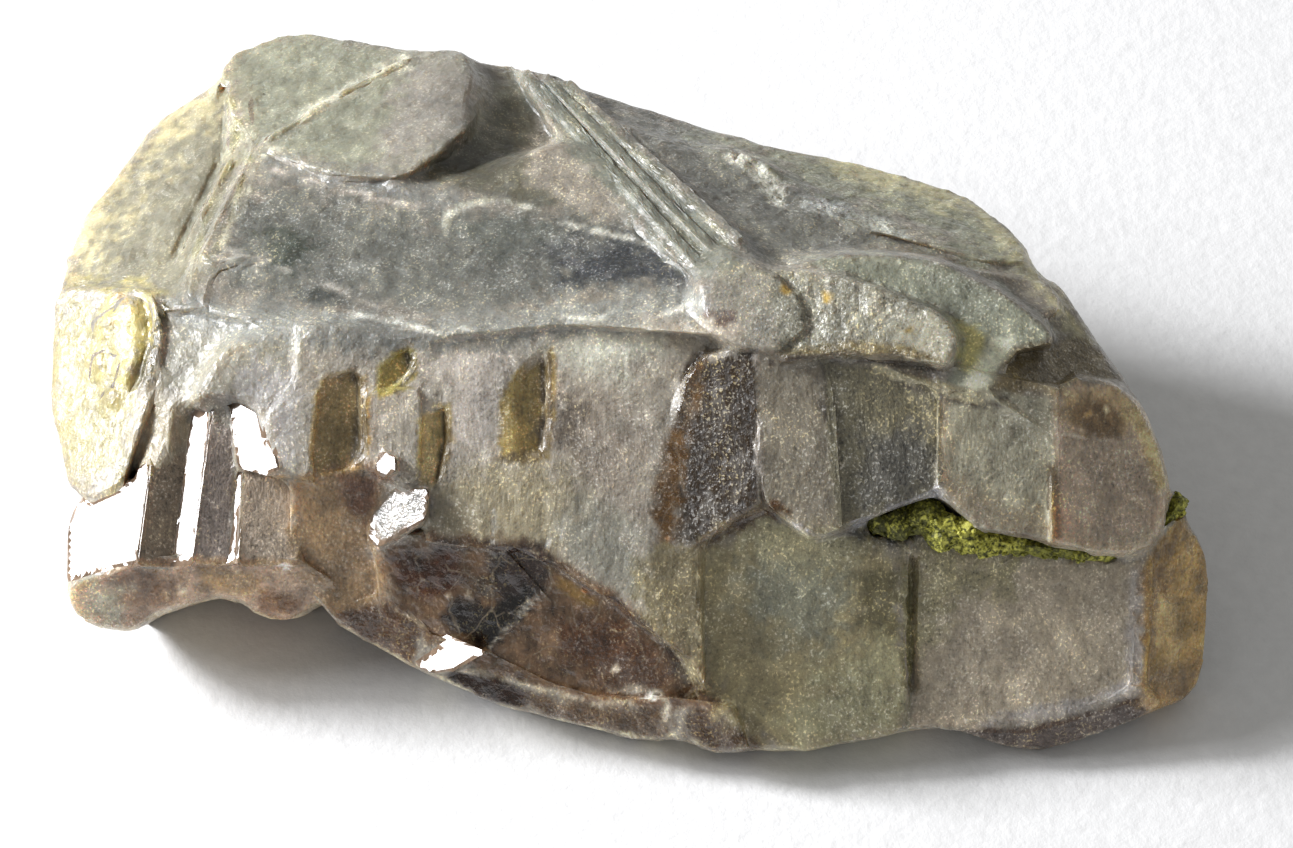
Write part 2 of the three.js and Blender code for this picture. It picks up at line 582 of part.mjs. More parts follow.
const box = new THREE.Box3().setFromObject(crystal).union(new THREE.Box3().setFromObject(seam));
const centre = box.getCenter(new THREE.Vector3());

const group = new THREE.Group();
group.add(crystal, seam);
group.position.set(-centre.x, -centre.y, -box.min.z);

export default group;
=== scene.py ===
import math
import random

import bmesh
import bpy
import numpy as np
from mathutils import Matrix, Vector, noise


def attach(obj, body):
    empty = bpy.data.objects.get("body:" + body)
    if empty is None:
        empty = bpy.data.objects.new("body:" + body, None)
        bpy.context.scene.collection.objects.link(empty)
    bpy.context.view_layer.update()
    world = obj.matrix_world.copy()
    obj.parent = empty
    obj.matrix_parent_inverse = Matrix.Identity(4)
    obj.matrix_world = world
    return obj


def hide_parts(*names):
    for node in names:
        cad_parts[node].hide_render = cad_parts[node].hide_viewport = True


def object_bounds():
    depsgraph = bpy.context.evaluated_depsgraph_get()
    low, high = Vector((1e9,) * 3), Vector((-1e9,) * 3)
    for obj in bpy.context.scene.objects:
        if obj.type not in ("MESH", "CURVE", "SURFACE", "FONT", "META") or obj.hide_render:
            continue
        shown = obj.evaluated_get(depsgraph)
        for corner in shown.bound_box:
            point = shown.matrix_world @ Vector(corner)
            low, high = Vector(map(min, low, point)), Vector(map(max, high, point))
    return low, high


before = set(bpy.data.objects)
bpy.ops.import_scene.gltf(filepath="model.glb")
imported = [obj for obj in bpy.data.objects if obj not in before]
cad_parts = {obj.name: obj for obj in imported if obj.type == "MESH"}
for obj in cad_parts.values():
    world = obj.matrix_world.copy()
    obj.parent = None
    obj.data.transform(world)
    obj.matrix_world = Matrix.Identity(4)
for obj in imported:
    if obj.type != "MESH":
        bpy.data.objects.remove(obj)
CAD_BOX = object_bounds()

# Frames and camera
MM = 0.001
PICTURE_WIDTH = 1293
PICTURE_HEIGHT = 848
PX_PER_MM = 38.0  # at the face frame's origin
LENS = 180.0
SENSOR = 36.0
VIEW_DISTANCE = PICTURE_WIDTH / PX_PER_MM * LENS / SENSOR  # mm
FACE_TILT = math.radians(40)
FACE_ORIGIN = Vector((0.5007, -2.411, 4.75))  # mm, in the row frame
VIEW = Vector((0, -math.sin(FACE_TILT), math.cos(FACE_TILT)))  # from the face to the camera
CLIP_START = 10 * MM
CLIP_END = 10

# Crystal's mesh, in mm
FRONT_EDGE = 0.2  # longest edge where the picture shows it
BACK_EDGE = 0.5
BASE_EDGE = 0.8
BASE_HEIGHT = 0.02  # what lies lower is the resting face
WELD_DISTANCE = 0.0015
SEEN_FACING = 0.12  # a face counts as seen when it looks this much towards the picture
FLAT_ANGLE = math.radians(0.4)
SPLIT_ROUNDS = 12

# Noise fields: size in mm, octaves, seed
NOISE_DIMENSION = 0.7
NOISE_LACUNARITY = 2.1
NOISE_STEPS = (17.3, 5.9, 11.1)  # how far each seed moves the noise
BROAD_RAG = (0.9, 2, 1)
FINE_RAG = (0.3, 3, 2)
LINE_BREAKS = (0.7, 2, 8)
HIDDEN_PATCHES = (2.6, 2, 7)
LUMPS = (1.3, 3, 3)
PITS = (0.42, 3, 4)

# Relief
REST_BLEND = 0.3  # mm over the resting face within which the relief comes in
LUMP_HEIGHT = 0.05
PIT_HEIGHT = 0.035
ROUND_PASSES = 26
ROUND_STEP = 0.5

# Paint
PAINT_FACING = (-0.12, -0.02)  # a face's normal along w, from unpainted to painted
BROAD_RAG_SHARE = 0.65
RAGGED_EDGE = 1.1  # how far an area's edge wanders, in parts of its softness
LINE_RAG = 0.6
SPOT_RAG = 0.5
LINE_SHOWN = (-0.5, 0.35)  # the noise between which a line comes in
HIDDEN_CLEAR = (0.1, 0.5)  # the noise between which a hidden clear patch comes in
HIDDEN_CLEAR_SHARE = 0.8
CREST_NORMAL = Vector((-0.63, 0.2, 1.0)).normalized()  # of the bright facets, in the face frame
CREST_SPREAD = math.radians(2.5)
CREST_RIGHT = -3.5  # mm across the picture, the crest ends left of here
BASE_TONE = "857e72"
HIDDEN_CLEAR_TONE = "6e5a48"
CREST_TONE = "8a7460"

# Chlorite's mesh, in mm
SEAM_SEED = 5
SEAM_EDGE = 0.14
SEAM_LUMP = 0.35
SEAM_SWELL = 0.02
SEAM_ROUGH = 0.06
SEAM_GRAINS = 900
GRAIN_RADII = (0.03, 0.08)
GRAIN_FLATNESS = (0.6, 1)
GRAIN_OFFSET = 0.04

# Crystal's material, noise scales along u, v and w per mm
CLOUD_SCALE = (0.5, 0.42, 0.5)
VEIL_SCALE = (1.5, 0.8, 1.5)
INNER_SCALE = (1.7, 1.4, 1.7)
CRACK_SCALE = (0.9, 0.7, 0.9)
FLECK_SCALE = (7.5, 6.0, 7.5)
SPECK_SCALE = (15.0, 13.0, 15.0)
CLOUD_SHADES = (0.74, 1.26)
VEIL_SHADES = (-0.24, 0.24)
FLECK_SHADES = (-0.2, 0.2)
PIT_SHADE = -0.3
INNER_SHADES = (0.4, 1.75)  # of clear places
CLEAR_GAIN = 1.9
VEIL_SHARE = 0.6
CRACK_SHARE = 0.9
CRACK_WIDTH = 0.035
PAINTED_GLINT_SHARE = 0.9
MATT_ROUGHNESS = 0.62
GLOSSY_ROUGHNESS = 0.03
BUMP_HEIGHT = 0.06  # mm
# painted glints, added to the colour
PAINTED_GLINT_COOL = (0.26, 0.26, 0.25, 1)
PAINTED_GLINT_WARM = (0.36, 0.30, 0.15, 1)
VEIL_TONE = (0.17, 0.165, 0.15, 1)  # added to the tone
CRACK_TONE = (0.34, 0.27, 0.19, 1)
CRYSTAL_IOR = 1.68
ABSORPTION_COLOUR = (0.80, 0.50, 0.30, 1)
ABSORPTION_DENSITY = 450.0
GLOW_REACH = (1.0, 0.62, 0.34)
GLOW_SCALE = 1.1  # mm

# Chlorite's material
SEAM_PAINTED_LIGHT_PLACE = 8.9  # painted light: the seam is lit most this many mm across the face from the row frame's middle
SEAM_PAINTED_LIGHT_REACH = (0.5, 1.4)  # mm from there, from painted light to none
SEAM_PAINTED_SHADE_PLACES = (7.0, 8.3)  # painted shade: the seam is darkened left of these and lightens to its own colour between them
CHLORITE_DARK = (0.055, 0.057, 0.011, 1)
CHLORITE_MID = (0.24, 0.24, 0.025, 1)
CHLORITE_BRIGHT = (0.68, 0.66, 0.12, 1)

# Stage and light
FLOOR_SIZE = 1.2
PAPER_TONES = (0.80, 0.86)
LAMP_DISTANCE = 0.2
LAMP_AIM_HEIGHT = 4  # mm over the floor
KEY_DIRECTION = Vector((-0.864, 0.184, 0.47))
GLINT_DIRECTION = Vector((-0.875, -0.02, 0.483))  # where the bright facets mirror from
KEY_SIZE = 0.05
KEY_POWER = 0.7
GLINT_SIZE = 0.056
GLINT_POWER = 0.17
LAMP_COLOUR = (0.97, 0.975, 1.0)
SKY_COLOUR = (1.0, 1.0, 0.98, 1)
SKY_STRENGTH = 0.31

# Finishes, frost is 1 where the crystal is opaque and 0 where it is clear; grain also sets how many painted
# glints a place gets
FROST, SHINE, GRAIN, RELIEF, ROUNDNESS, GLOW = range(6)
FINISHES = {
    "frost": (1.0, 0.15, 1.0, 0.6, 0.2, 0.4),
    "soft": (1.0, 0.2, 0.8, 0.8, 1.0, 0.5),
    "sugar": (1.0, 0.2, 1.6, 1.5, 0.2, 0.4),
    "speckle": (1.0, 0.25, 1.5, 0.4, 0.0, 0.15),
    "smooth": (1.0, 0.3, 0.5, 0.8, 1.0, 0.6),
    "satin": (0.88, 0.45, 1.1, 0.5, 0.15, 0.7),
    "waxy": (0.68, 0.6, 1.1, 0.5, 0.1, 0.45),
    "glitter": (0.7, 0.75, 1.6, 0.3, 0.0, 0.2),
    "glass": (0.5, 0.86, 0.6, 0.6, 0.0, 0.4),
    "mirror": (0.6, 1.0, 0.0, 0.0, 0.0, 0.0),
    "line": (1.0, 0.3, 1.2, 1.3, 0.3, 0.3),
}

# Areas of the seen side, in painting order: tone, finish, softness of the edge in mm, outline in PX
AREAS = {
    "left_back": ("827e6b", "smooth", 0.42, [(59, 291), (64, 252), (80, 214), (104, 186), (132, 154),
        (154, 118), (192, 96), (217, 82), (236, 95), (238, 150), (230, 205), (208, 250), (196, 296),
        (150, 300)]),
    # painted light along the left edge that faces the lamp
    "left_back_painted_light": ("bfb48c", "smooth", 0.8, [(59, 291), (64, 252), (80, 214), (104, 186), (154, 118),
        (217, 82), (222, 100), (160, 140), (118, 200), (92, 240), (84, 296)]),
    "raised_left": ("9c9982", "smooth", 0.51, [(217, 82), (236, 48), (299, 30), (330, 36), (320, 80),
        (290, 120), (255, 160), (238, 150), (236, 100)]),
    "raised_plate": ("8b8b79", "smooth", 0.42, [(236, 48), (299, 30), (355, 38), (430, 50), (465, 49),
        (519, 69), (533, 101), (500, 120), (443, 156), (404, 176), (340, 176), (285, 160), (262, 150),
        (250, 110)]),
    "pink_lobe": ("8a857b", "smooth", 0.51, [(400, 64), (440, 54), (480, 58), (520, 76), (505, 105),
        (470, 135), (430, 160), (404, 174), (370, 165), (385, 120)]),
    # painted shadow: the raised plate's shadow cast over the lower step
    "hollow_painted_shadow": ("5c594a", "smooth", 0.22, [(404, 177), (443, 157), (475, 128), (505, 98), (533, 95),
        (541, 118), (524, 150), (532, 186), (562, 200), (548, 215), (500, 198), (450, 192)]),
    "pale_band_low": ("7c7b75", "smooth", 0.42, [(262, 152), (340, 176), (404, 178), (450, 192), (500, 200),
        (430, 214), (380, 200), (320, 190), (270, 176)]),
    "centre_dark": ("67675f", "soft", 0.51, [(240, 196), (300, 186), (380, 204), (440, 216), (560, 212),
        (640, 222), (690, 270), (690, 292), (600, 296), (520, 310), (430, 318), (380, 308), (300, 305),
        (235, 290), (215, 250)]),
    "dark_spot_left": ("40453a", "soft", 0.42, [(268, 236), (300, 232), (318, 246), (300, 264),
        (276, 262)]),
    "dark_spot_low": ("2c302c", "soft", 0.34, [(300, 296), (330, 292), (348, 302), (330, 312),
        (305, 310)]),
    "dark_blue": ("3a3c3e", "soft", 0.51, [(548, 250), (590, 240), (640, 236), (690, 262), (708, 288),
        (670, 296), (620, 284), (560, 282)]),
    "dark_step": ("5e6058", "soft", 0.22, [(440, 222), (500, 214), (548, 222), (560, 238), (520, 244),
        (500, 262), (470, 244)]),
    "rib_band": ("717266", "smooth", 0.22, [(512, 67), (565, 84), (602, 120), (672, 175), (748, 262),
        (742, 286), (700, 280), (640, 225), (592, 170), (550, 125)]),
    "right_dark": ("706f67", "soft", 0.34, [(590, 95), (650, 112), (700, 128), (740, 150), (790, 176),
        (850, 200), (900, 222), (930, 246), (900, 256), (840, 256), (800, 264), (752, 262), (700, 200),
        (640, 140)]),
    "right_olive": ("80816d", "soft", 0.51, [(700, 130), (748, 137), (797, 148), (852, 159), (888, 165),
        (929, 178), (970, 195), (998, 219), (1030, 247), (1036, 268), (990, 262), (940, 236), (880, 212),
        (830, 196), (790, 172), (740, 150)]),
    "right_rim": ("b4ad86", "smooth", 0.34, [(820, 152), (888, 165), (929, 178), (970, 195), (998, 219),
        (1031, 247), (1038, 277), (1070, 307), (1092, 338), (1080, 345), (1050, 300), (1020, 260),
        (975, 216), (920, 192), (850, 176)]),
    "chip_one": ("bab8aa", "sugar", 0.06, [(722, 155), (745, 150), (770, 170), (788, 190), (784, 206),
        (768, 202), (758, 182), (738, 168)]),
    "chip_two": ("a2a39d", "sugar", 0.05, [(806, 196), (850, 206), (848, 216), (822, 212), (806, 206)]),
    "chip_three": ("a2a296", "sugar", 0.08, [(855, 212), (890, 220), (908, 236), (890, 236), (862, 226)]),
    "low_plate": ("898b7a", "frost", 0.12, [(796, 262), (836, 255), (901, 255), (943, 263), (998, 288),
        (1037, 318), (1053, 334), (1050, 344), (1015, 349), (998, 374), (982, 398), (945, 388), (955, 352),
        (947, 318), (915, 303), (847, 276)]),
    "low_plate_rim": ("dedfc8", "frost", 0.1, [(1018, 336), (1012, 349), (998, 374), (982, 398), (960, 392),
        (975, 360), (990, 340)]),
    "low_plate_moss": ("bdb678", "frost", 0.12, [(948, 318), (975, 325), (985, 345), (970, 370), (955, 366),
        (958, 340)]),
    # painted shade under the low plate's right end
    "shoulder_painted_shade": ("7a6c4c", "speckle", 0.18, [(998, 374), (1015, 349), (1050, 344), (1084, 340),
        (1106, 360), (1112, 380), (1078, 378), (1056, 394), (1000, 396), (984, 400)]),
    "top_plate": ("8a8777", "sugar", 0.12, [(716, 268), (765, 268), (847, 274), (915, 301), (947, 318),
        (958, 335), (957, 352), (945, 366), (902, 359), (847, 354), (778, 362), (773, 350), (745, 345),
        (738, 300)]),
    "top_plate_tip": ("b9b5a0", "satin", 0.22, [(905, 318), (935, 315), (950, 326), (957, 340), (957, 352),
        (945, 366), (905, 359), (895, 340)]),
    "top_plate_root": ("9a9588", "satin", 0.42, [(700, 290), (728, 275), (765, 285), (775, 320), (770, 350),
        (745, 348), (735, 325)]),
    # painted shade along the top plate's lower edge
    "top_plate_painted_shade": ("7a6f50", "sugar", 0.06, [(760, 362), (778, 352), (847, 340), (905, 345),
        (945, 362), (902, 359), (847, 356)]),
    "notch": ("624f4a", "waxy", 0.06, [(693, 314), (705, 306), (735, 312), (738, 334), (715, 338),
        (697, 330)]),
    # the left end's yellow-green, partly its own colour and partly painted light
    "left_end_with_painted_light": ("8d8352", "soft", 0.51, [(45, 382), (51, 337), (59, 291), (100, 290), (104, 340),
        (120, 395), (140, 440), (118, 478), (90, 490), (63, 475), (56, 439), (48, 414)]),
    "left_knobs_with_painted_light": ("b4a86c", "soft", 0.42, [(96, 292), (150, 290), (158, 300), (150, 340), (140, 390),
        (120, 410), (104, 380), (96, 330)]),
    "left_groove": ("3e381a", "line", 0.08, [(158, 300), (172, 306), (162, 340), (150, 385), (138, 392),
        (146, 350)]),
    "knee": ("968b73", "soft", 0.42, [(150, 392), (182, 400), (186, 440), (160, 470), (140, 478),
        (130, 440)]),
    "frost_left": ("8d897a", "soft", 0.34, [(172, 306), (300, 322), (312, 360), (312, 400), (305, 460),
        (300, 480), (276, 468), (262, 410), (240, 402), (186, 404), (160, 380)]),
    "frost_white": ("9b9792", "soft", 0.42, [(250, 370), (300, 372), (310, 400), (302, 470), (276, 466),
        (262, 410), (225, 400)]),
    "frost_middle": ("a1998b", "frost", 0.34, [(300, 322), (430, 330), (560, 318), (690, 300), (735, 328),
        (700, 360), (660, 430), (655, 545), (690, 600), (640, 625), (566, 573), (480, 545), (427, 541),
        (431, 490), (404, 488), (360, 466), (320, 478), (300, 470)]),
    "frost_pink": ("bcb3a8", "frost", 0.59, [(430, 345), (505, 350), (500, 450), (470, 462), (446, 440),
        (445, 400)]),
    "frost_cream": ("c2c0b0", "frost", 0.59, [(560, 322), (620, 318), (650, 345), (620, 380), (575, 375),
        (548, 350)]),
    "frost_lilac": ("968b7d", "frost", 0.68, [(547, 380), (600, 390), (640, 430), (640, 520), (590, 500),
        (560, 440)]),
    "frost_olive": ("968c73", "frost", 0.68, [(430, 480), (500, 462), (560, 470), (600, 520), (560, 560),
        (480, 545), (430, 540)]),
    "frost_veil": ("8a877a", "frost", 0.59, [(560, 520), (600, 500), (650, 540), (650, 610), (610, 590),
        (570, 560)]),
    "frost_top_line": ("7f7f78", "soft", 0.3, [(165, 300), (300, 306), (430, 318), (560, 306), (640, 288),
        (700, 288), (722, 312), (640, 324), (560, 340), (430, 352), (300, 346), (190, 334)]),
    "window_one": ("b09866", "satin", 0.03, [(324, 379), (358, 369), (370, 385), (370, 442), (360, 470),
        (313, 480), (311, 442), (316, 404)]),
    "window_two": ("b2a25c", "satin", 0.03, [(376, 366), (414, 341), (418, 376), (398, 392), (376, 395)]),
    "window_three": ("ccb880", "satin", 0.03, [(421, 414), (450, 401), (453, 442), (437, 486),
        (419, 483)]),
    "window_four": ("aa945a", "satin", 0.03, [(509, 382), (554, 346), (556, 414), (548, 458), (501, 461),
        (500, 403)]),
    # painted shade: the windows' side walls, painted darker
    "wall_painted_shade_one": ("5a4c30", "frost", 0.05, [(350, 372), (358, 369), (367, 386), (367, 444), (357, 474),
        (348, 471), (356, 442), (356, 388)]),
    "wall_painted_shade_two": ("544a2c", "frost", 0.05, [(404, 350), (415, 343), (416, 376), (396, 394), (390, 390),
        (407, 372)]),
    "wall_painted_shade_three": ("64532e", "frost", 0.05, [(441, 406), (450, 402), (451, 444), (441, 488), (434, 485),
        (443, 442)]),
    "wall_painted_shade_four": ("5c4c2a", "frost", 0.05, [(538, 358), (552, 346), (553, 416), (547, 458), (505, 465),
        (500, 456), (536, 448), (542, 412)]),
    "dark_patch": ("6a6054", "speckle", 0.42, [(548, 392), (580, 400), (578, 440), (556, 448),
        (546, 430)]),
    "crest_one": ("8c7c68", "speckle", 0.03, [(140, 480), (184, 452), (188, 470), (174, 565), (136, 562)]),
    "crest_two": ("8c8078", "speckle", 0.03, [(205, 418), (234, 430), (230, 562), (188, 562)]),
    "crest_three": ("ae9e8c", "speckle", 0.06, [(242, 466), (298, 480), (300, 566), (234, 562)]),
    "hem": ("c0a286", "waxy", 0.05, [(64, 588), (104, 574), (136, 560), (190, 556), (228, 560), (298, 560),
        (340, 585), (340, 620), (321, 602), (307, 612), (291, 621), (274, 621), (252, 613), (241, 602),
        (219, 596), (203, 602), (178, 608), (154, 617), (132, 631), (110, 632), (82, 624), (69, 609)]),
    "hem_facet_one": ("94704e", "waxy", 0.1, [(112, 576), (150, 565), (178, 580), (170, 602), (140, 607),
        (114, 600)]),
    "hem_facet_two": ("b08e60", "waxy", 0.1, [(198, 566), (240, 566), (262, 580), (250, 600), (226, 593),
        (202, 590)]),
    "hem_grey": ("b2ac96", "satin", 0.34, [(66, 590), (96, 578), (120, 590), (118, 628), (82, 624),
        (68, 606)]),
    "hem_dark": ("8c6238", "waxy", 0.15, [(254, 590), (300, 596), (304, 610), (280, 618), (256, 610)]),
    "column": ("a68a68", "waxy", 0.18, [(294, 480), (352, 464), (386, 474), (372, 552), (392, 560),
        (388, 610), (340, 624), (318, 602), (298, 575)]),
    "column_dark": ("7c5a44", "waxy", 0.18, [(340, 474), (384, 470), (374, 500), (366, 520), (346, 500)]),
    "glass": ("80644a", "glass", 0.15, [(384, 547), (430, 535), (480, 541), (522, 542), (572, 569),
        (622, 600), (652, 627), (697, 659), (714, 688), (740, 711), (676, 708), (596, 704), (547, 692),
        (480, 668), (430, 640), (396, 610)]),
    "glass_black_one": ("50290c", "glass", 0.18, [(392, 556), (440, 548), (460, 556), (456, 590),
        (430, 596), (398, 584)]),
    "glass_black_two": ("40302a", "glass", 0.15, [(492, 545), (545, 545), (556, 575), (540, 600),
        (520, 612), (500, 600), (484, 580)]),
    "glass_black_three": ("180c08", "glass", 0.15, [(446, 600), (470, 596), (500, 610), (520, 620),
        (500, 645), (470, 640), (440, 622)]),
    "glass_orange": ("9a7a46", "glass", 0.15, [(548, 566), (576, 580), (600, 606), (580, 606),
        (556, 596)]),
    "glass_brown": ("5c3a1e", "waxy", 0.34, [(560, 620), (620, 610), (655, 640), (680, 670), (640, 680),
        (590, 670), (560, 655)]),
    "glass_pink": ("5c4028", "satin", 0.22, [(590, 664), (640, 655), (668, 668), (668, 690), (640, 700),
        (600, 698)]),
    "glass_wedge": ("3a2414", "glass", 0.15, [(640, 612), (700, 655), (742, 712), (716, 706), (690, 690),
        (664, 660)]),
    "glass_veil": ("140c08", "glass", 0.15, [(470, 628), (500, 600), (530, 585), (556, 580), (540, 600),
        (510, 625), (490, 650)]),
    "glass_knot": ("42321f", "waxy", 0.08, [(474, 578), (494, 574), (498, 596), (480, 600)]),
    "under_left": ("5e422a", "waxy", 0.08, [(337, 612), (392, 600), (420, 625), (415, 668), (390, 655),
        (362, 640), (337, 624)]),
    "under_dark": ("3a1f0e", "glass", 0.06, [(455, 668), (486, 676), (530, 690), (528, 708), (508, 706),
        (481, 698), (448, 680)]),
    "under_pink": ("68523c", "waxy", 0.18, [(530, 692), (596, 704), (660, 704), (680, 724), (656, 740),
        (607, 732), (560, 721), (530, 710)]),
    "under_right": ("4c3214", "waxy", 0.15, [(690, 706), (740, 712), (762, 722), (760, 753), (706, 753),
        (690, 738), (684, 722)]),
    "tier_brown": ("2a1d0c", "speckle", 0.08, [(700, 362), (757, 350), (760, 505), (745, 512), (690, 546),
        (676, 540), (684, 470), (690, 400)]),
    "tier_edge": ("664821", "waxy", 0.18, [(690, 362), (700, 362), (688, 450), (676, 545), (655, 542),
        (652, 490), (668, 440)]),
    "tier_strip": ("7c7464", "frost", 0.06, [(757, 350), (822, 360), (832, 400), (842, 530), (808, 537),
        (762, 503)]),
    "tier_dark": ("746e58", "speckle", 0.08, [(822, 360), (900, 372), (942, 385), (942, 491), (880, 516),
        (838, 530), (828, 440)]),
    "tier_dark_core": ("5e5b52", "speckle", 0.34, [(862, 430), (935, 430), (940, 480), (890, 505),
        (862, 500)]),
    "tier_grey": ("9e9984", "frost", 0.05, [(942, 385), (1055, 398), (1060, 546), (1017, 537), (977, 531),
        (942, 491)]),
    "tier_lilac": ("998f7a", "satin", 0.34, [(942, 470), (1000, 500), (1060, 520), (1060, 548), (1000, 532),
        (950, 500)]),
    "tier_right": ("c0ae98", "satin", 0.08, [(1055, 398), (1078, 380), (1118, 384), (1140, 410),
        (1160, 450), (1170, 490), (1168, 522), (1152, 547), (1130, 556), (1100, 556), (1058, 545)]),
    "tier_right_dark": ("c4ac86", "waxy", 0.22, [(1060, 392), (1084, 382), (1120, 388), (1142, 412),
        (1120, 432), (1090, 436), (1066, 420)]),
    "tier_right_pit": ("9a7e58", "waxy", 0.12, [(1070, 404), (1086, 398), (1108, 402), (1124, 418),
        (1116, 436), (1090, 438), (1074, 424)]),
    "tier_right_rim": ("ecd4a0", "waxy", 0.08, [(1120, 388), (1140, 410), (1160, 450), (1170, 490),
        (1156, 490), (1140, 440), (1122, 410)]),
    "tier_right_foot": ("bcb09a", "satin", 0.15, [(1056, 525), (1100, 536), (1160, 528), (1152, 547),
        (1130, 556), (1100, 556), (1058, 548)]),
    # painted shade on the wall between the grey and right tiers
    "tier_right_wall_painted_shade": ("7a6c56", "satin", 0.06, [(1047, 466), (1059, 466), (1062, 540), (1050, 546)]),
    # painted shade over the tier's rounded left edge
    "tier_edge_painted_shade": ("4a3a28", "waxy", 0.08, [(672, 430), (677, 392), (686, 364), (704, 348), (714, 352),
        (702, 366), (693, 392), (687, 430)]),
    # painted shadow, brownish, under the tier's lower left edge
    "gap_brown_painted_shadow": ("55350e", "waxy", 0.06, [(690, 548), (745, 514), (775, 500), (790, 512), (745, 530),
        (700, 552)]),
    # painted shadow in the crevice under the tier's lip
    "crevice_painted_shadow": ("0e0c08", "frost", 0.08, [(820, 540), (880, 520), (935, 500), (945, 512), (905, 545),
        (850, 548)]),
    "low_tier": ("978c68", "frost", 0.4, [(640, 560), (700, 548), (760, 520), (860, 540), (902, 560),
        (900, 690), (904, 732), (863, 741), (800, 751), (740, 735), (700, 680), (640, 620)]),
    "low_join": ("71674c", "frost", 0.2, [(640, 562), (660, 552), (700, 549), (703, 600), (702, 680),
        (676, 650), (655, 625)]),
    "low_blue": ("84836f", "frost", 0.68, [(740, 560), (830, 550), (860, 590), (840, 640), (780, 640),
        (745, 610)]),
    "low_sparkle": ("a6a080", "speckle", 0.34, [(760, 520), (820, 535), (860, 545), (850, 560), (780, 552),
        (740, 545)]),
    "low_brown": ("615a3c", "frost", 0.22, [(855, 575), (902, 565), (902, 640), (880, 650), (856, 620)]),
    "low_pale": ("989372", "frost", 0.59, [(820, 680), (860, 650), (900, 640), (904, 732), (863, 741),
        (800, 751), (780, 720)]),
    # painted shade in the groove of the low tier
    "low_groove_painted_shade": ("7c7654", "line", 0.06, [(900, 566), (914, 566), (916, 640), (912, 690), (902, 690),
        (904, 630)]),
    "block": ("a99d89", "frost", 0.05, [(912, 552), (1144, 562), (1142, 660), (1136, 694), (1032, 720),
        (977, 730), (934, 728), (910, 730), (914, 640)]),
    "block_shade": ("958d6e", "speckle", 0.42, [(912, 552), (1020, 560), (1010, 590), (960, 600),
        (930, 640), (914, 650)]),
    "block_rim": ("aaa39c", "frost", 0.15, [(1130, 570), (1146, 566), (1144, 690), (1100, 706), (1020, 722),
        (985, 724), (1030, 710), (1090, 694), (1128, 680)]),
    "bevel": ("4c3a2e", "speckle", 0.06, [(960, 730), (1032, 727), (1100, 708), (1150, 692), (1149, 713),
        (1106, 730), (1069, 744), (1040, 751), (1006, 747), (986, 740)]),
    "amber": ("cca864", "waxy", 0.06, [(1146, 560), (1178, 516), (1197, 534), (1207, 554), (1212, 589),
        (1212, 629), (1207, 651), (1202, 681), (1186, 699), (1149, 713), (1144, 690)]),
    "amber_shade": ("927240", "waxy", 0.3, [(1146, 562), (1176, 530), (1174, 588), (1160, 640),
        (1146, 662)]),
    "amber_foot": ("ac8c5c", "waxy", 0.3, [(1146, 672), (1180, 662), (1204, 668), (1186, 700),
        (1149, 714)]),
    # painted highlight in the amber end
    "amber_painted_highlight": ("e6c688", "waxy", 0.15, [(1160, 600), (1176, 606), (1182, 650), (1170, 664),
        (1156, 640)]),
}

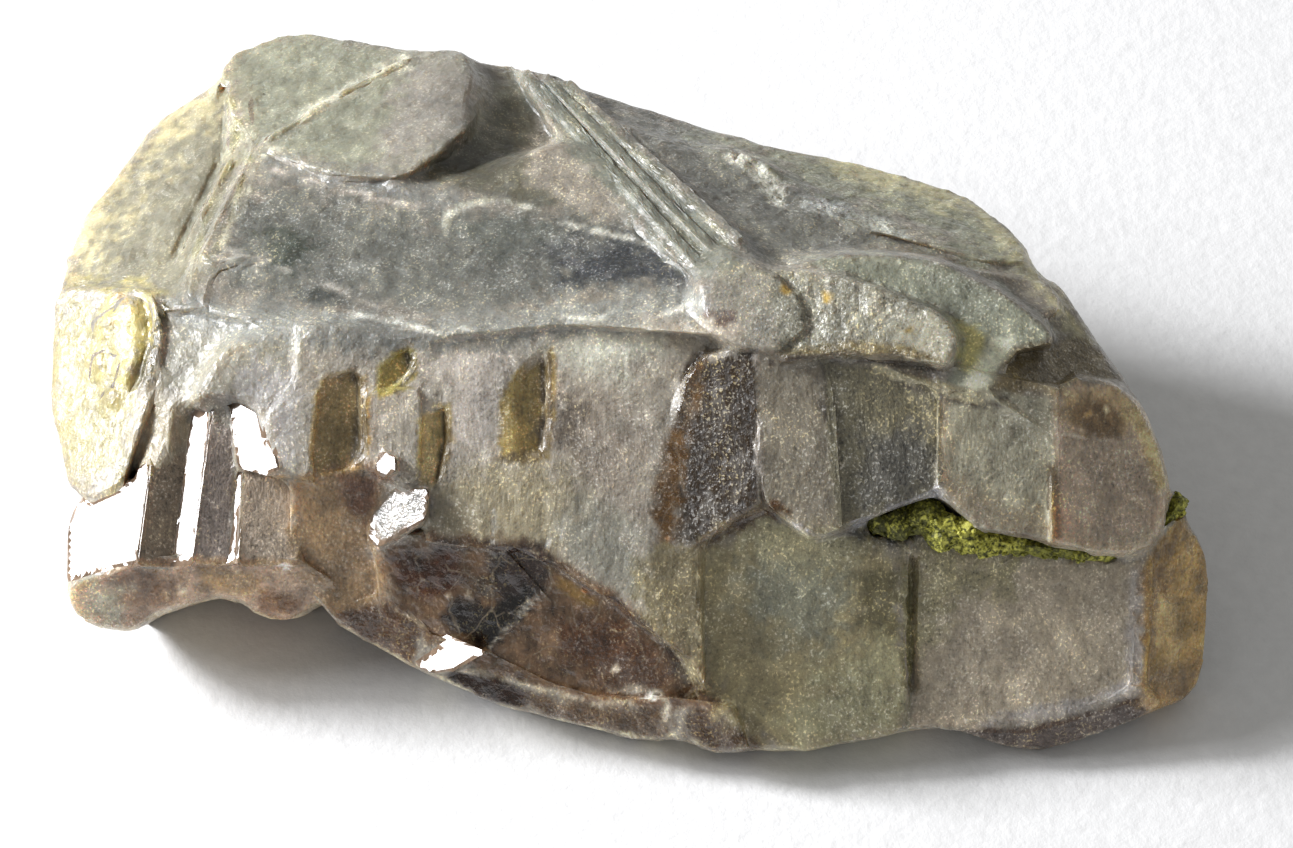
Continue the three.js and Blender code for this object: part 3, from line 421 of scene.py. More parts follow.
# Thin lines: tone, width in mm, places in PX
LINES = {
    "groove_left": ("837f5a", 0.22, [(230, 95), (236, 130), (232, 165)]),
    "line_left_one": ("8f8b68", 0.16, [(228, 165), (212, 205), (198, 250), (190, 270)]),
    "line_left_two": ("8f8b68", 0.16, [(250, 160), (236, 200), (222, 240), (205, 262)]),
    "stripe_pale": ("c5c2ae", 0.32, [(408, 58), (360, 82), (320, 105), (280, 140), (255, 175)]),
    "stripe_low": ("b7b29c", 0.22, [(255, 175), (236, 205), (220, 245)]),
    "vein_one": ("b3aba0", 0.14, [(262, 166), (340, 188), (420, 208)]),
    "vein_two": ("aaa59a", 0.14, [(225, 250), (280, 268), (340, 290), (400, 318)]),
    "rim_hollow": ("aaa88f", 0.12, [(444, 232), (446, 216), (466, 204), (500, 198), (540, 212)]),
    "rim_centre": ("a7a598", 0.12, [(560, 222), (590, 228), (620, 236), (660, 240)]),
    "rib_line_one": ("6f6d5b", 0.13, [(528, 72), (580, 130), (640, 190), (700, 250), (722, 280)]),
    "rib_line_two": ("75735f", 0.13, [(548, 78), (600, 120), (660, 172), (720, 232), (742, 268)]),
    "plate_line_one": ("a9ab98", 0.12, [(840, 260), (900, 262), (960, 276), (1000, 296)]),
    "plate_line_two": ("9d9f8b", 0.1, [(1000, 300), (1020, 322), (1046, 336)]),
    # painted shadow under the top plate's edge
    "plate_painted_shadow": ("3c2f22", 0.16, [(770, 362), (847, 356), (904, 362), (948, 372)]),
    "ledge_pale": ("b2a98a", 0.16, [(876, 366), (900, 378), (940, 386), (980, 398)]),
    # painted shadow under the low plate's edge
    "ledge_painted_shadow": ("40352a", 0.14, [(880, 380), (940, 394), (984, 404), (1004, 398)]),
    "crack": ("33302c", 0.07, [(941, 384), (942, 440), (941, 490)]),
    # painted highlight along the tier's lower edge
    "tier_lip_painted_highlight": ("8f8d90", 0.12, [(765, 505), (790, 524), (815, 536), (838, 531), (900, 506), (940, 492)]),
    "tier_seam": ("6e5548", 0.1, [(945, 494), (975, 520), (1010, 534), (1056, 546)]),
    "tier_split_one": ("a29a90", 0.08, [(757, 350), (757, 430), (760, 503)]),
    "tier_split_two": ("4c453c", 0.1, [(823, 362), (826, 420), (822, 400)]),
    "hem_rim": ("c3b391", 0.1, [(69, 609), (82, 624), (110, 632), (132, 631), (154, 617), (178, 608),
        (203, 602), (219, 596), (241, 602), (252, 613), (274, 621), (291, 621), (307, 612), (321, 602)]),
    "hem_top": ("a8916f", 0.07, [(104, 574), (136, 562), (160, 572), (190, 556), (228, 562), (298, 560)]),
    "column_top": ("b08f5c", 0.07, [(268, 470), (300, 482), (340, 470), (378, 462)]),
    # painted shade on the wall above the glassy zone
    "glass_wall_painted_shade": ("2e2016", 0.2, [(400, 545), (430, 541), (504, 547), (561, 569), (600, 592), (640, 622),
        (668, 650), (697, 684)]),
    "hem_crack_one": ("c8b08e", 0.06, [(150, 565), (168, 600)]),
    "hem_crack_two": ("c0a888", 0.06, [(232, 566), (262, 596)]),
    "curl_one": ("b89a60", 0.14, [(104, 300), (120, 296), (136, 302), (128, 318), (112, 322)]),
    "curl_two": ("8a7c3c", 0.2, [(152, 306), (146, 340), (136, 372), (130, 392)]),
    "crumbs_one": ("c4c2b4", 0.13, [(446, 236), (444, 218), (466, 205), (500, 200), (540, 212)]),
    "crumbs_two": ("c0beb2", 0.1, [(560, 222), (590, 230), (624, 238), (660, 244)]),
    # pale crumbs along the ridge, partly a painted highlight
    "ridge_crumbs_and_highlight_three": ("d0cec2", 0.16, [(352, 314), (400, 322), (440, 334), (470, 330)]),
    "ridge_crumbs_and_highlight_four": ("c6c4b8", 0.14, [(560, 316), (590, 322), (620, 312), (660, 318), (690, 306)]),
    "crumbs_five": ("c4c2b6", 0.16, [(210, 258), (240, 262), (262, 272), (300, 276)]),
    "veil_one": ("8b8579", 0.06, [(486, 650), (510, 624), (530, 600), (556, 582)]),
    "veil_two": ("7b7468", 0.05, [(500, 640), (520, 616), (540, 596)]),
    "veil_three": ("8d8676", 0.05, [(664, 668), (680, 656), (694, 646)]),
    "veil_four": ("b3b2ac", 0.06, [(546, 545), (560, 538), (566, 520)]),
    "veil_five": ("a9a59b", 0.06, [(494, 510), (492, 545), (494, 565)]),
    "glass_edge_one": ("c8bca4", 0.1, [(456, 668), (500, 678), (547, 690), (596, 704), (630, 702)]),
    "glass_edge_two": ("e0d8c4", 0.14, [(608, 690), (640, 690), (662, 694), (668, 706), (660, 728)]),
    "glass_edge_three": ("9b8a72", 0.07, [(378, 600), (400, 612), (430, 630)]),
    "under_rim_one": ("ab9f82", 0.08, [(340, 626), (370, 645), (415, 668)]),
    "under_rim_two": ("d0c8a8", 0.08, [(437, 676), (481, 698), (508, 709), (560, 721), (607, 732),
        (656, 740), (676, 735)]),
    "under_rim_three": ("bdb598", 0.1, [(690, 738), (706, 751), (760, 754), (800, 751)]),
    "bead_row": ("a89a84", 0.1, [(448, 596), (456, 588), (468, 590), (474, 604)]),
}

# The broad bright facet, laid over the others
BROAD_GLINT = ("98948c", "glitter", 0.05, [(376, 512), (396, 492), (424, 490), (424, 512),
    (400, 530), (384, 540), (376, 534)])

# Small spots: tone, radius in mm, place in PX
SPOTS = {
    "stain_one": ("a88a44", 0.13, (786, 288)),
    "stain_two": ("c0a04c", 0.15, (828, 296)),
    "stain_three": ("a08a50", 0.1, (910, 330)),
    # painted glints: bright points of light on the tiers, amber end, glass and hem
    "painted_glint_orange": ("a8805a", 0.07, (666, 538)),
    "painted_glint_amber": ("d8b070", 0.1, (1168, 640)),
    "painted_glint_tier": ("e0b878", 0.1, (1087, 414)),
    "painted_glint_tier_two": ("e8d8b0", 0.06, (1106, 409)),
    "painted_glint_tier_three": ("e0d0b0", 0.05, (1119, 425)),
    "painted_glint_glass_three": ("f0ece0", 0.1, (652, 696)),
    "painted_glint_hem_one": ("e8d8b8", 0.08, (182, 594)),
    "painted_glint_hem_two": ("f0e8e0", 0.09, (286, 567)),
    "painted_glint_glass_one": ("c07838", 0.08, (585, 590)),
    "painted_glint_glass_two": ("d8c8b0", 0.1, (615, 668)),
}

# Places and small helpers


def to_face(points):
    """Row-frame metres to face-frame millimetres, for an array of points."""
    moved = points / MM - np.array(FACE_ORIGIN)
    across = moved[:, 0]
    up = moved[:, 1] * math.cos(FACE_TILT) + moved[:, 2] * math.sin(FACE_TILT)
    out = -moved[:, 1] * math.sin(FACE_TILT) + moved[:, 2] * math.cos(FACE_TILT)
    return np.stack([across, up, out], axis=1)


def to_picture(face):
    """Face-frame millimetres to the picture plane through the frame's origin, in millimetres."""
    share = VIEW_DISTANCE / (VIEW_DISTANCE - face[:, 2])
    return face[:, :2] * share[:, None]


def from_px(places):
    """Places in the picture to the picture plane, in millimetres."""
    places = np.array(places, float)
    across = (places[:, 0] - PICTURE_WIDTH / 2) / PX_PER_MM
    up = (PICTURE_HEIGHT / 2 - places[:, 1]) / PX_PER_MM
    return np.stack([across, up], axis=1)


def linear(tone):
    """A tone written as six hex digits of sRGB, as linear red, green and blue."""
    shares = np.array([int(tone[i:i + 2], 16) / 255 for i in (0, 2, 4)])
    return np.where(shares <= 0.04045, shares / 12.92, ((shares + 0.055) / 1.055) ** 2.4)


def smoothstep(low, high, values):
    share = np.clip((values - low) / (high - low), 0, 1)
    return share * share * (3 - 2 * share)


def line_distance(points, corners):
    """Distance of each point from a chain of straight pieces."""
    nearest = np.full(len(points), np.inf)
    for start, end in zip(corners[:-1], corners[1:]):
        along = end - start
        share = np.clip((points - start) @ along / (along @ along), 0, 1)
        gap = points - start - share[:, None] * along
        nearest = np.minimum(nearest, np.hypot(gap[:, 0], gap[:, 1]))
    return nearest


def outline_depth(points, corners):
    """How far each point lies inside a closed outline, negative outside."""
    inside = np.zeros(len(points), bool)
    for start, end in zip(corners, np.roll(corners, -1, axis=0)):
        crosses = (start[1] > points[:, 1]) != (end[1] > points[:, 1])
        rise = end[1] - start[1] or 1e-9
        reach = start[0] + (points[:, 1] - start[1]) * (end[0] - start[0]) / rise
        inside ^= crosses & (points[:, 0] < reach)
    closed = np.vstack([corners, corners[:1]])
    return np.where(inside, 1, -1) * line_distance(points, closed)


def noise_field(points_mm, size, octaves, seed):
    """Fractal noise of about -1 to 1 at each point, its largest lumps about size mm wide."""
    offset = Vector([seed * step for step in NOISE_STEPS])
    return np.array([
        noise.fractal(Vector(point) / size + offset, NOISE_DIMENSION, NOISE_LACUNARITY, octaves)
        for point in points_mm
    ])


# Meshes


def piece_from(name, mesh):
    piece = bpy.data.objects.new(name, mesh)
    bpy.context.scene.collection.objects.link(piece)
    return piece


def node_bmesh(node):
    """A welded copy of a CAD node's mesh, its flat facets merged and cut into triangles."""
    shape = bmesh.new()
    shape.from_mesh(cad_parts[node].data)
    bmesh.ops.remove_doubles(shape, verts=shape.verts, dist=WELD_DISTANCE * MM)
    bmesh.ops.dissolve_limit(shape, angle_limit=FLAT_ANGLE, verts=shape.verts, edges=shape.edges)
    bmesh.ops.triangulate(shape, faces=shape.faces)
    return shape


def split_long_edges(shape, longest, shortest):
    """Halves every edge that is longer than longest(edge), which is never under shortest."""
    for _ in range(SPLIT_ROUNDS):
        far = [edge for edge in shape.edges if edge.calc_length() > shortest]
        long_edges = [edge for edge in far if edge.calc_length() > longest(edge)]
        if not long_edges:
            break
        bmesh.ops.subdivide_edges(shape, edges=long_edges, cuts=1)
        many = [face for face in shape.faces if len(face.verts) > 3]
        bmesh.ops.triangulate(shape, faces=many)


def refine_crystal(shape):
    """Cuts the facets up, finely where the picture shows them."""
    limit = shape.faces.layers.float.new("limit")
    shape.normal_update()
    for face in shape.faces:
        if all(vert.co.z < BASE_HEIGHT * MM for vert in face.verts):
            face[limit] = BASE_EDGE * MM
        else:
            face[limit] = (FRONT_EDGE if face.normal.dot(VIEW) > SEEN_FACING else BACK_EDGE) * MM
    split_long_edges(shape, lambda edge: min(face[limit] for face in edge.link_faces), FRONT_EDGE * MM)
    shape.faces.layers.float.remove(limit)


def keep_in_box(points):
    low, high = np.array(CAD_BOX[0]), np.array(CAD_BOX[1])
    return np.clip(points, low, high)


# Crystal: relief and paint


class Paint:
    """Values at the corners of the crystal's faces, laid on area by area."""

    def __init__(self, mesh, base_tone, base_finish):
        count = len(mesh.loops)
        points = np.empty(len(mesh.vertices) * 3)
        mesh.vertices.foreach_get("co", points)
        self.points = points.reshape(-1, 3)
        self.vertex = np.empty(count, int)
        mesh.loops.foreach_get("vertex_index", self.vertex)
        normals = np.empty(len(mesh.polygons) * 3)
        mesh.polygons.foreach_get("normal", normals)
        sides = np.empty(len(mesh.polygons), int)
        mesh.polygons.foreach_get("loop_total", sides)
        self.normal = np.repeat(normals.reshape(-1, 3), sides, axis=0)
        self.face = to_face(self.points)
        self.picture = to_picture(self.face)[self.vertex]
        tilt = Matrix.Rotation(-FACE_TILT, 3, "X")
        self.face_normal = self.normal @ np.array(tilt).T
        self.facing = smoothstep(*PAINT_FACING, self.face_normal[:, 2])
        places = self.points / MM
        rag = BROAD_RAG_SHARE * noise_field(places, *BROAD_RAG) + noise_field(places, *FINE_RAG)
        self.ragged = rag[self.vertex]
        self.broken = noise_field(places, *LINE_BREAKS)[self.vertex]
        self.tone = np.tile(linear(base_tone), (count, 1))
        self.finish = np.tile(np.array(FINISHES[base_finish], float), (count, 1))

    def lay(self, found, mask, tone, finish):
        """Covers the found corners with a tone and a finish, as far as the mask says."""
        cover = mask[:, None]
        self.tone[found] += cover * (linear(tone) - self.tone[found])
        self.finish[found] += cover * (np.array(FINISHES[finish]) - self.finish[found])

    def near(self, corners, reach):
        """The corners of faces that a shape in the picture may touch."""
        low, high = corners.min(axis=0) - reach, corners.max(axis=0) + reach
        inside = ((self.picture > low) & (self.picture < high)).all(axis=1)
        return np.flatnonzero(inside & (self.facing > 0))

    def lay_inside(self, found, depth, softness, tone, finish):
        mask = smoothstep(-softness, softness, depth) * self.facing[found]
        self.lay(found, mask, tone, finish)

    def area(self, tone, finish, softness, places):
        corners = from_px(places)
        found = self.near(corners, 3 * softness)
        rag = RAGGED_EDGE * softness * self.ragged[found]
        depth = outline_depth(self.picture[found], corners) + rag
        self.lay_inside(found, depth, softness, tone, finish)

    def line(self, tone, width, places):
        corners = from_px(places)
        found = self.near(corners, width)
        thick = width / 2 * (1 + LINE_RAG * self.ragged[found])
        depth = thick - line_distance(self.picture[found], corners)
        shown = smoothstep(*LINE_SHOWN, self.broken[found])
        mask = smoothstep(-width / 2, width / 2, depth) * self.facing[found] * shown
        self.lay(found, mask, tone, "line")

    def spot(self, tone, radius, place):
        corners = from_px([place])
        found = self.near(corners, 2 * radius)
        gap = np.hypot(*(self.picture[found] - corners[0]).T)
        depth = radius * (1 + SPOT_RAG * self.ragged[found]) - gap
        self.lay_inside(found, depth, radius / 3, tone, "line")

    def bright_facets(self):
        """The crest's facets that all look one way, shiny and clear."""
        match = self.face_normal @ np.array(CREST_NORMAL) > math.cos(CREST_SPREAD)
        found = np.flatnonzero(match & (self.picture[:, 0] < CREST_RIGHT))
        self.lay(found, np.ones(len(found)), CREST_TONE, "mirror")

    def at_points(self, column):
        """A finish's value at each point, the mean of its corners'."""
        total = np.bincount(self.vertex, self.finish[:, column], len(self.points))
        return total / np.maximum(np.bincount(self.vertex, minlength=len(self.points)), 1)

    def store(self, mesh):
        tone = mesh.attributes.new("tone", "FLOAT_COLOR", "CORNER")
        colours = np.concatenate([self.tone, np.ones((len(self.tone), 1))], axis=1)
        tone.data.foreach_set("color", colours.astype(np.float32).ravel())
        for name, column in (("frost", FROST), ("shine", SHINE), ("grain", GRAIN), ("glow", GLOW)):
            layer = mesh.attributes.new(name, "FLOAT", "CORNER")
            layer.data.foreach_set("value", self.finish[:, column].astype(np.float32))


def paint_crystal(mesh):
    paint = Paint(mesh, BASE_TONE, "frost")
    hidden = 1 - paint.facing
    clear = smoothstep(*HIDDEN_CLEAR, noise_field(paint.points / MM, *HIDDEN_PATCHES))[paint.vertex]
    mask = hidden * clear * HIDDEN_CLEAR_SHARE
    paint.lay(np.arange(len(hidden)), mask, HIDDEN_CLEAR_TONE, "waxy")
    for tone, finish, softness, places in AREAS.values():
        paint.area(tone, finish, softness, places)
    for tone, width, places in LINES.values():
        paint.line(tone, width, places)
    for tone, radius, place in SPOTS.values():
        paint.spot(tone, radius, place)
    paint.bright_facets()
    paint.area(*BROAD_GLINT)
    return paint


def round_off(mesh, points, weight):
    """Draws each point towards the middle of its neighbours, most where the weight is 1."""
    pairs = np.empty(len(mesh.edges) * 2, int)
    mesh.edges.foreach_get("vertices", pairs)
    ends = np.concatenate([pairs[0::2], pairs[1::2]])
    others = np.concatenate([pairs[1::2], pairs[0::2]])
    count = np.bincount(ends, minlength=len(points))[:, None]
    for _ in range(ROUND_PASSES):
        total = [np.bincount(ends, points[others, axis], len(points)) for axis in range(3)]
        points = points + weight[:, None] * (np.stack(total, axis=1) / count - points)
    return points


def shape_crystal(mesh, paint):
    """Rounds the crystal's edges and roughens its faces, each by its place's finish."""
    places = paint.points / MM
    lifted = smoothstep(0.0, REST_BLEND, places[:, 2])
    weight = ROUND_STEP * lifted * paint.at_points(ROUNDNESS)
    mesh.vertices.foreach_set("co", round_off(mesh, paint.points, weight).ravel())
    mesh.update()
    points = np.empty(len(places) * 3)
    normals = np.empty(len(places) * 3)
    mesh.vertices.foreach_get("co", points)
    mesh.vertices.foreach_get("normal", normals)
    lumps = noise_field(places, *LUMPS)
    pits = noise_field(places, *PITS)
    move = (LUMP_HEIGHT * lumps + PIT_HEIGHT * pits) * paint.at_points(RELIEF) * lifted * MM
    moved = keep_in_box(points.reshape(-1, 3) + normals.reshape(-1, 3) * move[:, None])
    mesh.vertices.foreach_set("co", moved.ravel())
    mesh.update()


def make_crystal():
    shape = node_bmesh("axinite_crystal")
    refine_crystal(shape)
    mesh = bpy.data.meshes.new("crystal")
    shape.to_mesh(mesh)
    shape.free()
    paint = paint_crystal(mesh)
    paint.store(mesh)
    shape_crystal(mesh, paint)
    piece = piece_from("crystal", mesh)
    mesh.materials.append(crystal_material())
    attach(piece, "root")
    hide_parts("axinite_crystal")


# Chlorite


def make_chlorite():
    """The seam, swollen to fill its pocket and covered in small grains."""
    shape = node_bmesh("chlorite_seam")
    split_long_edges(shape, lambda edge: SEAM_EDGE * MM, SEAM_EDGE * MM)
    random_source = random.Random(SEAM_SEED)
    starts = [vert.co.copy() for vert in shape.verts]
    for vert in shape.verts:
        lump = noise.fractal(vert.co / MM / SEAM_LUMP, NOISE_DIMENSION, NOISE_LACUNARITY, 3)
        vert.co += vert.normal * (SEAM_SWELL + SEAM_ROUGH * lump) * MM
    shape.verts.index_update()
    points = [vert.co.copy() for vert in shape.verts]
    faces = [[vert.index for vert in face.verts] for face in shape.faces]
    shape.free()
    ball_points, ball_faces = small_ball()
    for centre in random_source.sample(starts, SEAM_GRAINS):
        place = grain_place(centre, random_source)
        faces += [[len(points) + index for index in face] for face in ball_faces]
        points += [place @ point for point in ball_points]
    mesh = bpy.data.meshes.new("chlorite")
    mesh.from_pydata(points, [], faces)
    piece = piece_from("chlorite", mesh)
    mesh.materials.append(chlorite_material())
    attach(piece, "root")
    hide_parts("chlorite_seam")


def small_ball():
    ball = bmesh.new()
    bmesh.ops.create_icosphere(ball, subdivisions=1, radius=1)
    points = [vert.co.copy() for vert in ball.verts]
    faces = [[vert.index for vert in face.verts] for face in ball.faces]
    ball.free()
    return points, faces


def grain_place(centre, random_source):
    radius = random_source.uniform(*GRAIN_RADII) * MM
    turn = Matrix.Rotation(random_source.uniform(0, math.tau), 4, random_direction(random_source))
    flat = random_source.uniform(*GRAIN_FLATNESS)
    narrow = random_source.uniform(*GRAIN_FLATNESS)
    stretch = Matrix.Diagonal((radius, flat * radius, narrow * radius, 1))
    off = random_direction(random_source) * GRAIN_OFFSET * MM
    return Matrix.Translation(centre + off) @ turn @ stretch


def random_direction(random_source):
    while True:
        direction = Vector([random_source.uniform(-1, 1) for _ in range(3)])
        if 0.1 < direction.length < 1:
            return direction.normalized()


# Materials


class Nodes:
    """Adds nodes to a material and links them, so that each line reads as one step."""

    def __init__(self, name):
        self.material = bpy.data.materials.new(name)
        self.material.use_nodes = True
        self.tree = self.material.node_tree
        self.shader = self.tree.nodes["Principled BSDF"]
        self.output = self.tree.nodes["Material Output"]

    def add(self, kind, inputs=None, **settings):
        node = self.tree.nodes.new(kind)
        for key, value in settings.items():
            setattr(node, key, value)
        for key, value in (inputs or {}).items():
            self.put(node.inputs[key], value)
        return node

    def put(self, socket, value):
        if isinstance(value, bpy.types.NodeSocket):
            self.tree.links.new(value, socket)
        else:
            socket.default_value = value

    def value(self, name):
        return self.add("ShaderNodeAttribute", attribute_name=name).outputs["Fac"]

    def math(self, operation, first, second, clamp=False):
        node = self.add("ShaderNodeMath", {0: first, 1: second}, operation=operation)
        node.use_clamp = clamp
        return node.outputs[0]

    def remap(self, value, low, high, to_low, to_high):
        inputs = {0: value, 1: low, 2: high, 3: to_low, 4: to_high}
        return self.add("ShaderNodeMapRange", inputs).outputs[0]

    def mix(self, share, first, second, blend="MIX"):
        node = self.add("ShaderNodeMix", data_type="RGBA", blend_type=blend)
        for key, value in (("Factor_Float", share), ("A_Color", first), ("B_Color", second)):
            self.put(next(s for s in node.inputs if s.identifier == key), value)
        return next(s for s in node.outputs if s.identifier == "Result_Color")

    def face_place(self, scale):
        """Places in the face's own frame, in millimetres times scale."""
        place = self.add("ShaderNodeTexCoord").outputs["Object"]
        inputs = {"Vector": place, "Rotation": (-FACE_TILT, 0, 0)}
        turned = self.add("ShaderNodeMapping", inputs).outputs[0]
        inputs = {"Vector": turned, "Scale": tuple(part / MM for part in scale)}
        return self.add("ShaderNodeMapping", inputs).outputs[0]

    def noise(self, scale, detail=3.0, roughness=0.6):
        place = self.face_place(scale)
        inputs = {"Vector": place, "Scale": 1.0, "Detail": detail, "Roughness": roughness}
        return self.add("ShaderNodeTexNoise", inputs).outputs["Fac"]

    def cracks(self, scale):
        """1 on thin bent breaks and 0 beside them."""
        place = self.face_place(scale)
        wander = self.add("ShaderNodeTexNoise", {"Vector": place, "Scale": 1.4}).outputs["Color"]
        bent = self.mix(0.35, place, wander, "LINEAR_LIGHT")
        inputs = {"Vector": bent, "Scale": 1.0}
        cells = self.add("ShaderNodeTexVoronoi", inputs, feature="DISTANCE_TO_EDGE")
        return self.remap(cells.outputs["Distance"], 0.0, CRACK_WIDTH, 1.0, 0.0)

    def add_up(self, values):
        total = values[0]
        for value in values[1:]:
            total = self.math("ADD", total, value)
        return total

    def socket(self, name, value):
        """Sets or links one of the shader's own inputs."""
        self.put(self.shader.inputs[name], value)

    def bump(self, height, distance, strength):
        """Bump on the shader's normal, its distance in millimetres."""
        inputs = {"Height": height, "Distance": distance * MM, "Strength": strength}
        self.socket("Normal", self.add("ShaderNodeBump", inputs).outputs[0])


def grey(value):
    return (value, value, value, 1)


def crystal_shade(nodes, looks, grain, clear):
    """What the painted tone is multiplied by: clouds, veils, flecks, pits and inner clouds."""
    shade = nodes.add_up([
        nodes.remap(looks["cloud"], 0.3, 0.7, *CLOUD_SHADES),
        nodes.remap(looks["veil"], 0.3, 0.7, *VEIL_SHADES),
        nodes.math("MULTIPLY", nodes.remap(looks["fleck"], 0.3, 0.7, *FLECK_SHADES), grain),
        nodes.math("MULTIPLY", nodes.remap(looks["speck"], 0.42, 0.28, 0.0, PIT_SHADE), grain),
    ])
    inner = nodes.noise(INNER_SCALE, detail=6, roughness=0.62)
    inner_shade = nodes.remap(inner, 0.34, 0.66, *INNER_SHADES)
    return nodes.math("MULTIPLY", shade, nodes.remap(clear, 0.0, 1.0, 1.0, inner_shade))


def with_veils(nodes, colour, looks, grain):
    """Whitish veils over frosted places."""
    share = nodes.remap(looks["veil"], 0.52, 0.74, 0.0, VEIL_SHARE)
    return nodes.mix(nodes.math("MULTIPLY", share, grain, clamp=True), colour, VEIL_TONE, "ADD")


def with_cracks(nodes, colour, looks, clear):
    """Thin pale breaks in clear places."""
    share = nodes.math("MULTIPLY", nodes.cracks(CRACK_SCALE), clear)
    share = nodes.math("MULTIPLY", share, nodes.remap(looks["veil"], 0.4, 0.54, 0.0, CRACK_SHARE))
    return nodes.mix(share, colour, CRACK_TONE)


def with_painted_glints(nodes, colour, looks, grain):
    """Painted glints: bright points added to the colour, warm in some clouds and cool in others."""
    share = nodes.remap(looks["speck"], 0.58, 0.68, 0.0, 1.0)
    share = nodes.math("MULTIPLY", share, nodes.remap(looks["veil"], 0.4, 0.6, 0.1, 1.2))
    share = nodes.math("MULTIPLY", share, grain, clamp=True)
    warm = nodes.remap(looks["cloud"], 0.44, 0.56, 0.0, 1.0)
    added = nodes.mix(0.3, nodes.mix(warm, PAINTED_GLINT_COOL, PAINTED_GLINT_WARM), colour, "ADD")
    brighter = nodes.mix(1.0, colour, added, "ADD")
    return nodes.mix(nodes.math("MULTIPLY", share, PAINTED_GLINT_SHARE), colour, brighter)


def crystal_surface(nodes, looks, shine, grain):
    """Gloss from the shine, roughened by the grain."""
    rough = nodes.remap(shine, 0.0, 1.0, MATT_ROUGHNESS, GLOSSY_ROUGHNESS)
    spread = nodes.math("MULTIPLY", nodes.remap(looks["fleck"], 0.35, 0.65, 0.1, -0.22), grain)
    nodes.socket("Roughness", nodes.math("ADD", rough, spread, clamp=True))
    height = nodes.math("ADD", looks["fleck"], nodes.math("MULTIPLY", looks["speck"], 0.4))
    nodes.bump(height, BUMP_HEIGHT, nodes.math("MULTIPLY", grain, 0.4))


def crystal_body(nodes, frost, glow):
    """Clear brown with absorption inside, or frosted with some light scattered inside."""
    nodes.socket("IOR", CRYSTAL_IOR)
    nodes.socket("Transmission Weight", nodes.remap(frost, 0.0, 1.0, 1.0, 0.0))
    nodes.socket("Subsurface Weight", glow)
    nodes.socket("Subsurface Radius", GLOW_REACH)
    nodes.socket("Subsurface Scale", GLOW_SCALE * MM)
    inputs = {"Color": ABSORPTION_COLOUR, "Density": ABSORPTION_DENSITY}
    absorption = nodes.add("ShaderNodeVolumeAbsorption", inputs)
    nodes.put(nodes.output.inputs["Volume"], absorption.outputs[0])


def crystal_material():
    """Frosted where frost is 1 and clear brown where it is 0, with fine grain and painted glints."""
    nodes = Nodes("axinite")
    tone = nodes.add("ShaderNodeAttribute", attribute_name="tone").outputs["Color"]
    frost, shine, grain, glow = (nodes.value(name) for name in ("frost", "shine", "grain", "glow"))
    looks = {
        "cloud": nodes.noise(CLOUD_SCALE, detail=5),
        "veil": nodes.noise(VEIL_SCALE, detail=7, roughness=0.68),
        "fleck": nodes.noise(FLECK_SCALE, detail=3),
        "speck": nodes.noise(SPECK_SCALE, detail=1),
    }
    clear = nodes.math("MULTIPLY", nodes.math("SUBTRACT", 1.0, frost), CLEAR_GAIN, clamp=True)
    shade = crystal_shade(nodes, looks, grain, clear)
    shade_colour = nodes.add("ShaderNodeCombineColor", {0: shade, 1: shade, 2: shade}).outputs[0]
    colour = nodes.mix(1.0, tone, shade_colour, "MULTIPLY")
    colour = with_veils(nodes, colour, looks, grain)
    colour = with_cracks(nodes, colour, looks, clear)
    nodes.socket("Base Color", with_painted_glints(nodes, colour, looks, grain))
    crystal_surface(nodes, looks, shine, grain)
    crystal_body(nodes, frost, glow)
    return nodes.material


def chlorite_material():
    """Yellow-green grains, darkened to olive at the seam's left end as painted shade and lighter about one
    place along it as painted light.
    """
    nodes = Nodes("chlorite")
    grains = nodes.noise((9.0, 9.0, 9.0), detail=3)
    patches = nodes.noise((1.3, 1.3, 1.3), detail=3)
    place = nodes.add("ShaderNodeSeparateXYZ", {0: nodes.face_place((1, 1, 1))}).outputs[0]
    middle = nodes.math("SUBTRACT", place, SEAM_PAINTED_LIGHT_PLACE)
    away = nodes.math("ABSOLUTE", middle, 0)
    # painted light about one place along the seam
    painted_light_place = nodes.remap(away, *SEAM_PAINTED_LIGHT_REACH, 1.0, 0.0)
    lit = nodes.math("ADD", grains, nodes.math("MULTIPLY", patches, 0.6))
    lit = nodes.math("ADD", lit, nodes.math("MULTIPLY", painted_light_place, 0.16))
    body = nodes.mix(nodes.remap(grains, 0.36, 0.56, 0.0, 1.0), CHLORITE_DARK, CHLORITE_MID)
    # painted shade at the seam's left end
    dark = nodes.remap(place, *SEAM_PAINTED_SHADE_PLACES, 0.75, 0.0)
    body = nodes.mix(dark, body, CHLORITE_DARK)
    colour = nodes.mix(nodes.remap(lit, 0.84, 1.06, 0.0, 1.0), body, CHLORITE_BRIGHT)
    nodes.socket("Base Color", colour)
    nodes.socket("Roughness", nodes.remap(grains, 0.3, 0.7, 0.75, 0.45))
    nodes.bump(grains, 0.06, 0.6)
    return nodes.material


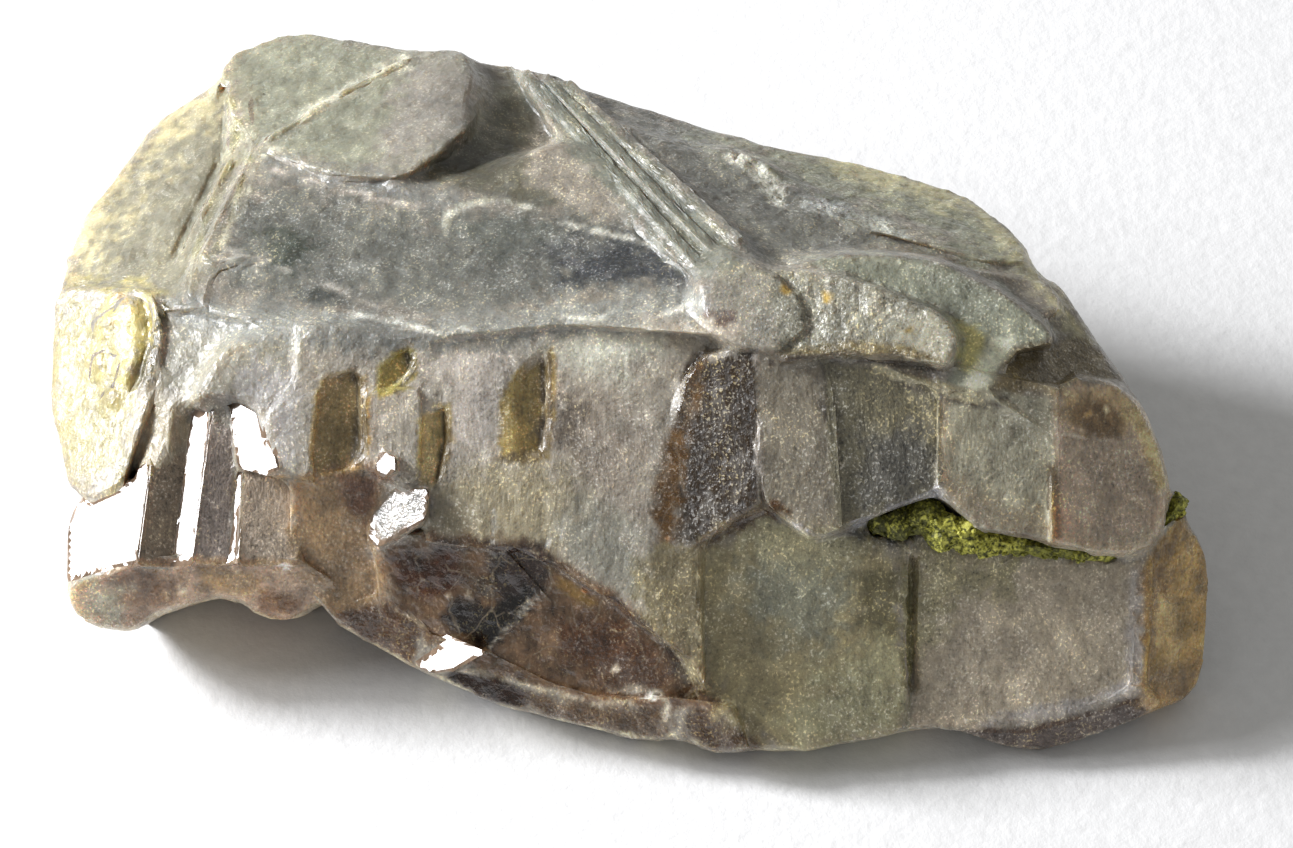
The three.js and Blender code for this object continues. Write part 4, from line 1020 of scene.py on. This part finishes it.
def paper_material():
    nodes = Nodes("paper")
    fibre = nodes.noise((2.2, 2.2, 2.2), detail=5)
    dark, pale = (grey(value) for value in PAPER_TONES)
    nodes.socket("Base Color", nodes.mix(nodes.remap(fibre, 0.3, 0.7, 0.0, 1.0), dark, pale))
    nodes.socket("Roughness", 0.9)
    nodes.bump(fibre, 0.1, 0.35)
    return nodes.material


# Stage, light and camera


def make_floor():
    mesh = bpy.data.meshes.new("floor")
    half = FLOOR_SIZE / 2
    corners = [(-half, -half, 0), (half, -half, 0), (half, half, 0), (-half, half, 0)]
    mesh.from_pydata(corners, [], [(0, 1, 2, 3)])
    floor = piece_from("floor", mesh)
    mesh.materials.append(paper_material())


def area_light(name, direction, size, power):
    data = bpy.data.lights.new(name, "AREA")
    data.shape = "DISK"
    data.size = size
    data.energy = power
    data.color = LAMP_COLOUR
    light = bpy.data.objects.new(name, data)
    light.location = direction * LAMP_DISTANCE + Vector((0, 0, LAMP_AIM_HEIGHT * MM))
    light.rotation_euler = direction.to_track_quat("Z", "Y").to_euler()
    bpy.context.scene.collection.objects.link(light)


def make_light():
    area_light("key", KEY_DIRECTION, KEY_SIZE, KEY_POWER)
    area_light("glint", GLINT_DIRECTION, GLINT_SIZE, GLINT_POWER)
    world = bpy.data.worlds.new("studio")
    world.use_nodes = True
    background = world.node_tree.nodes["Background"]
    background.inputs["Color"].default_value = SKY_COLOUR
    background.inputs["Strength"].default_value = SKY_STRENGTH
    bpy.context.scene.world = world
    bpy.context.scene.view_settings.view_transform = "Standard"


def make_camera():
    data = bpy.data.cameras.new("camera")
    data.lens = LENS
    data.sensor_width = SENSOR
    data.clip_start = CLIP_START
    data.clip_end = CLIP_END
    camera = bpy.data.objects.new("camera", data)
    camera.location = (FACE_ORIGIN + VIEW * VIEW_DISTANCE) * MM
    camera.rotation_euler = (FACE_TILT, 0, 0)
    bpy.context.scene.collection.objects.link(camera)
    bpy.context.scene.camera = camera


make_crystal()
make_chlorite()
make_floor()
make_light()
make_camera()
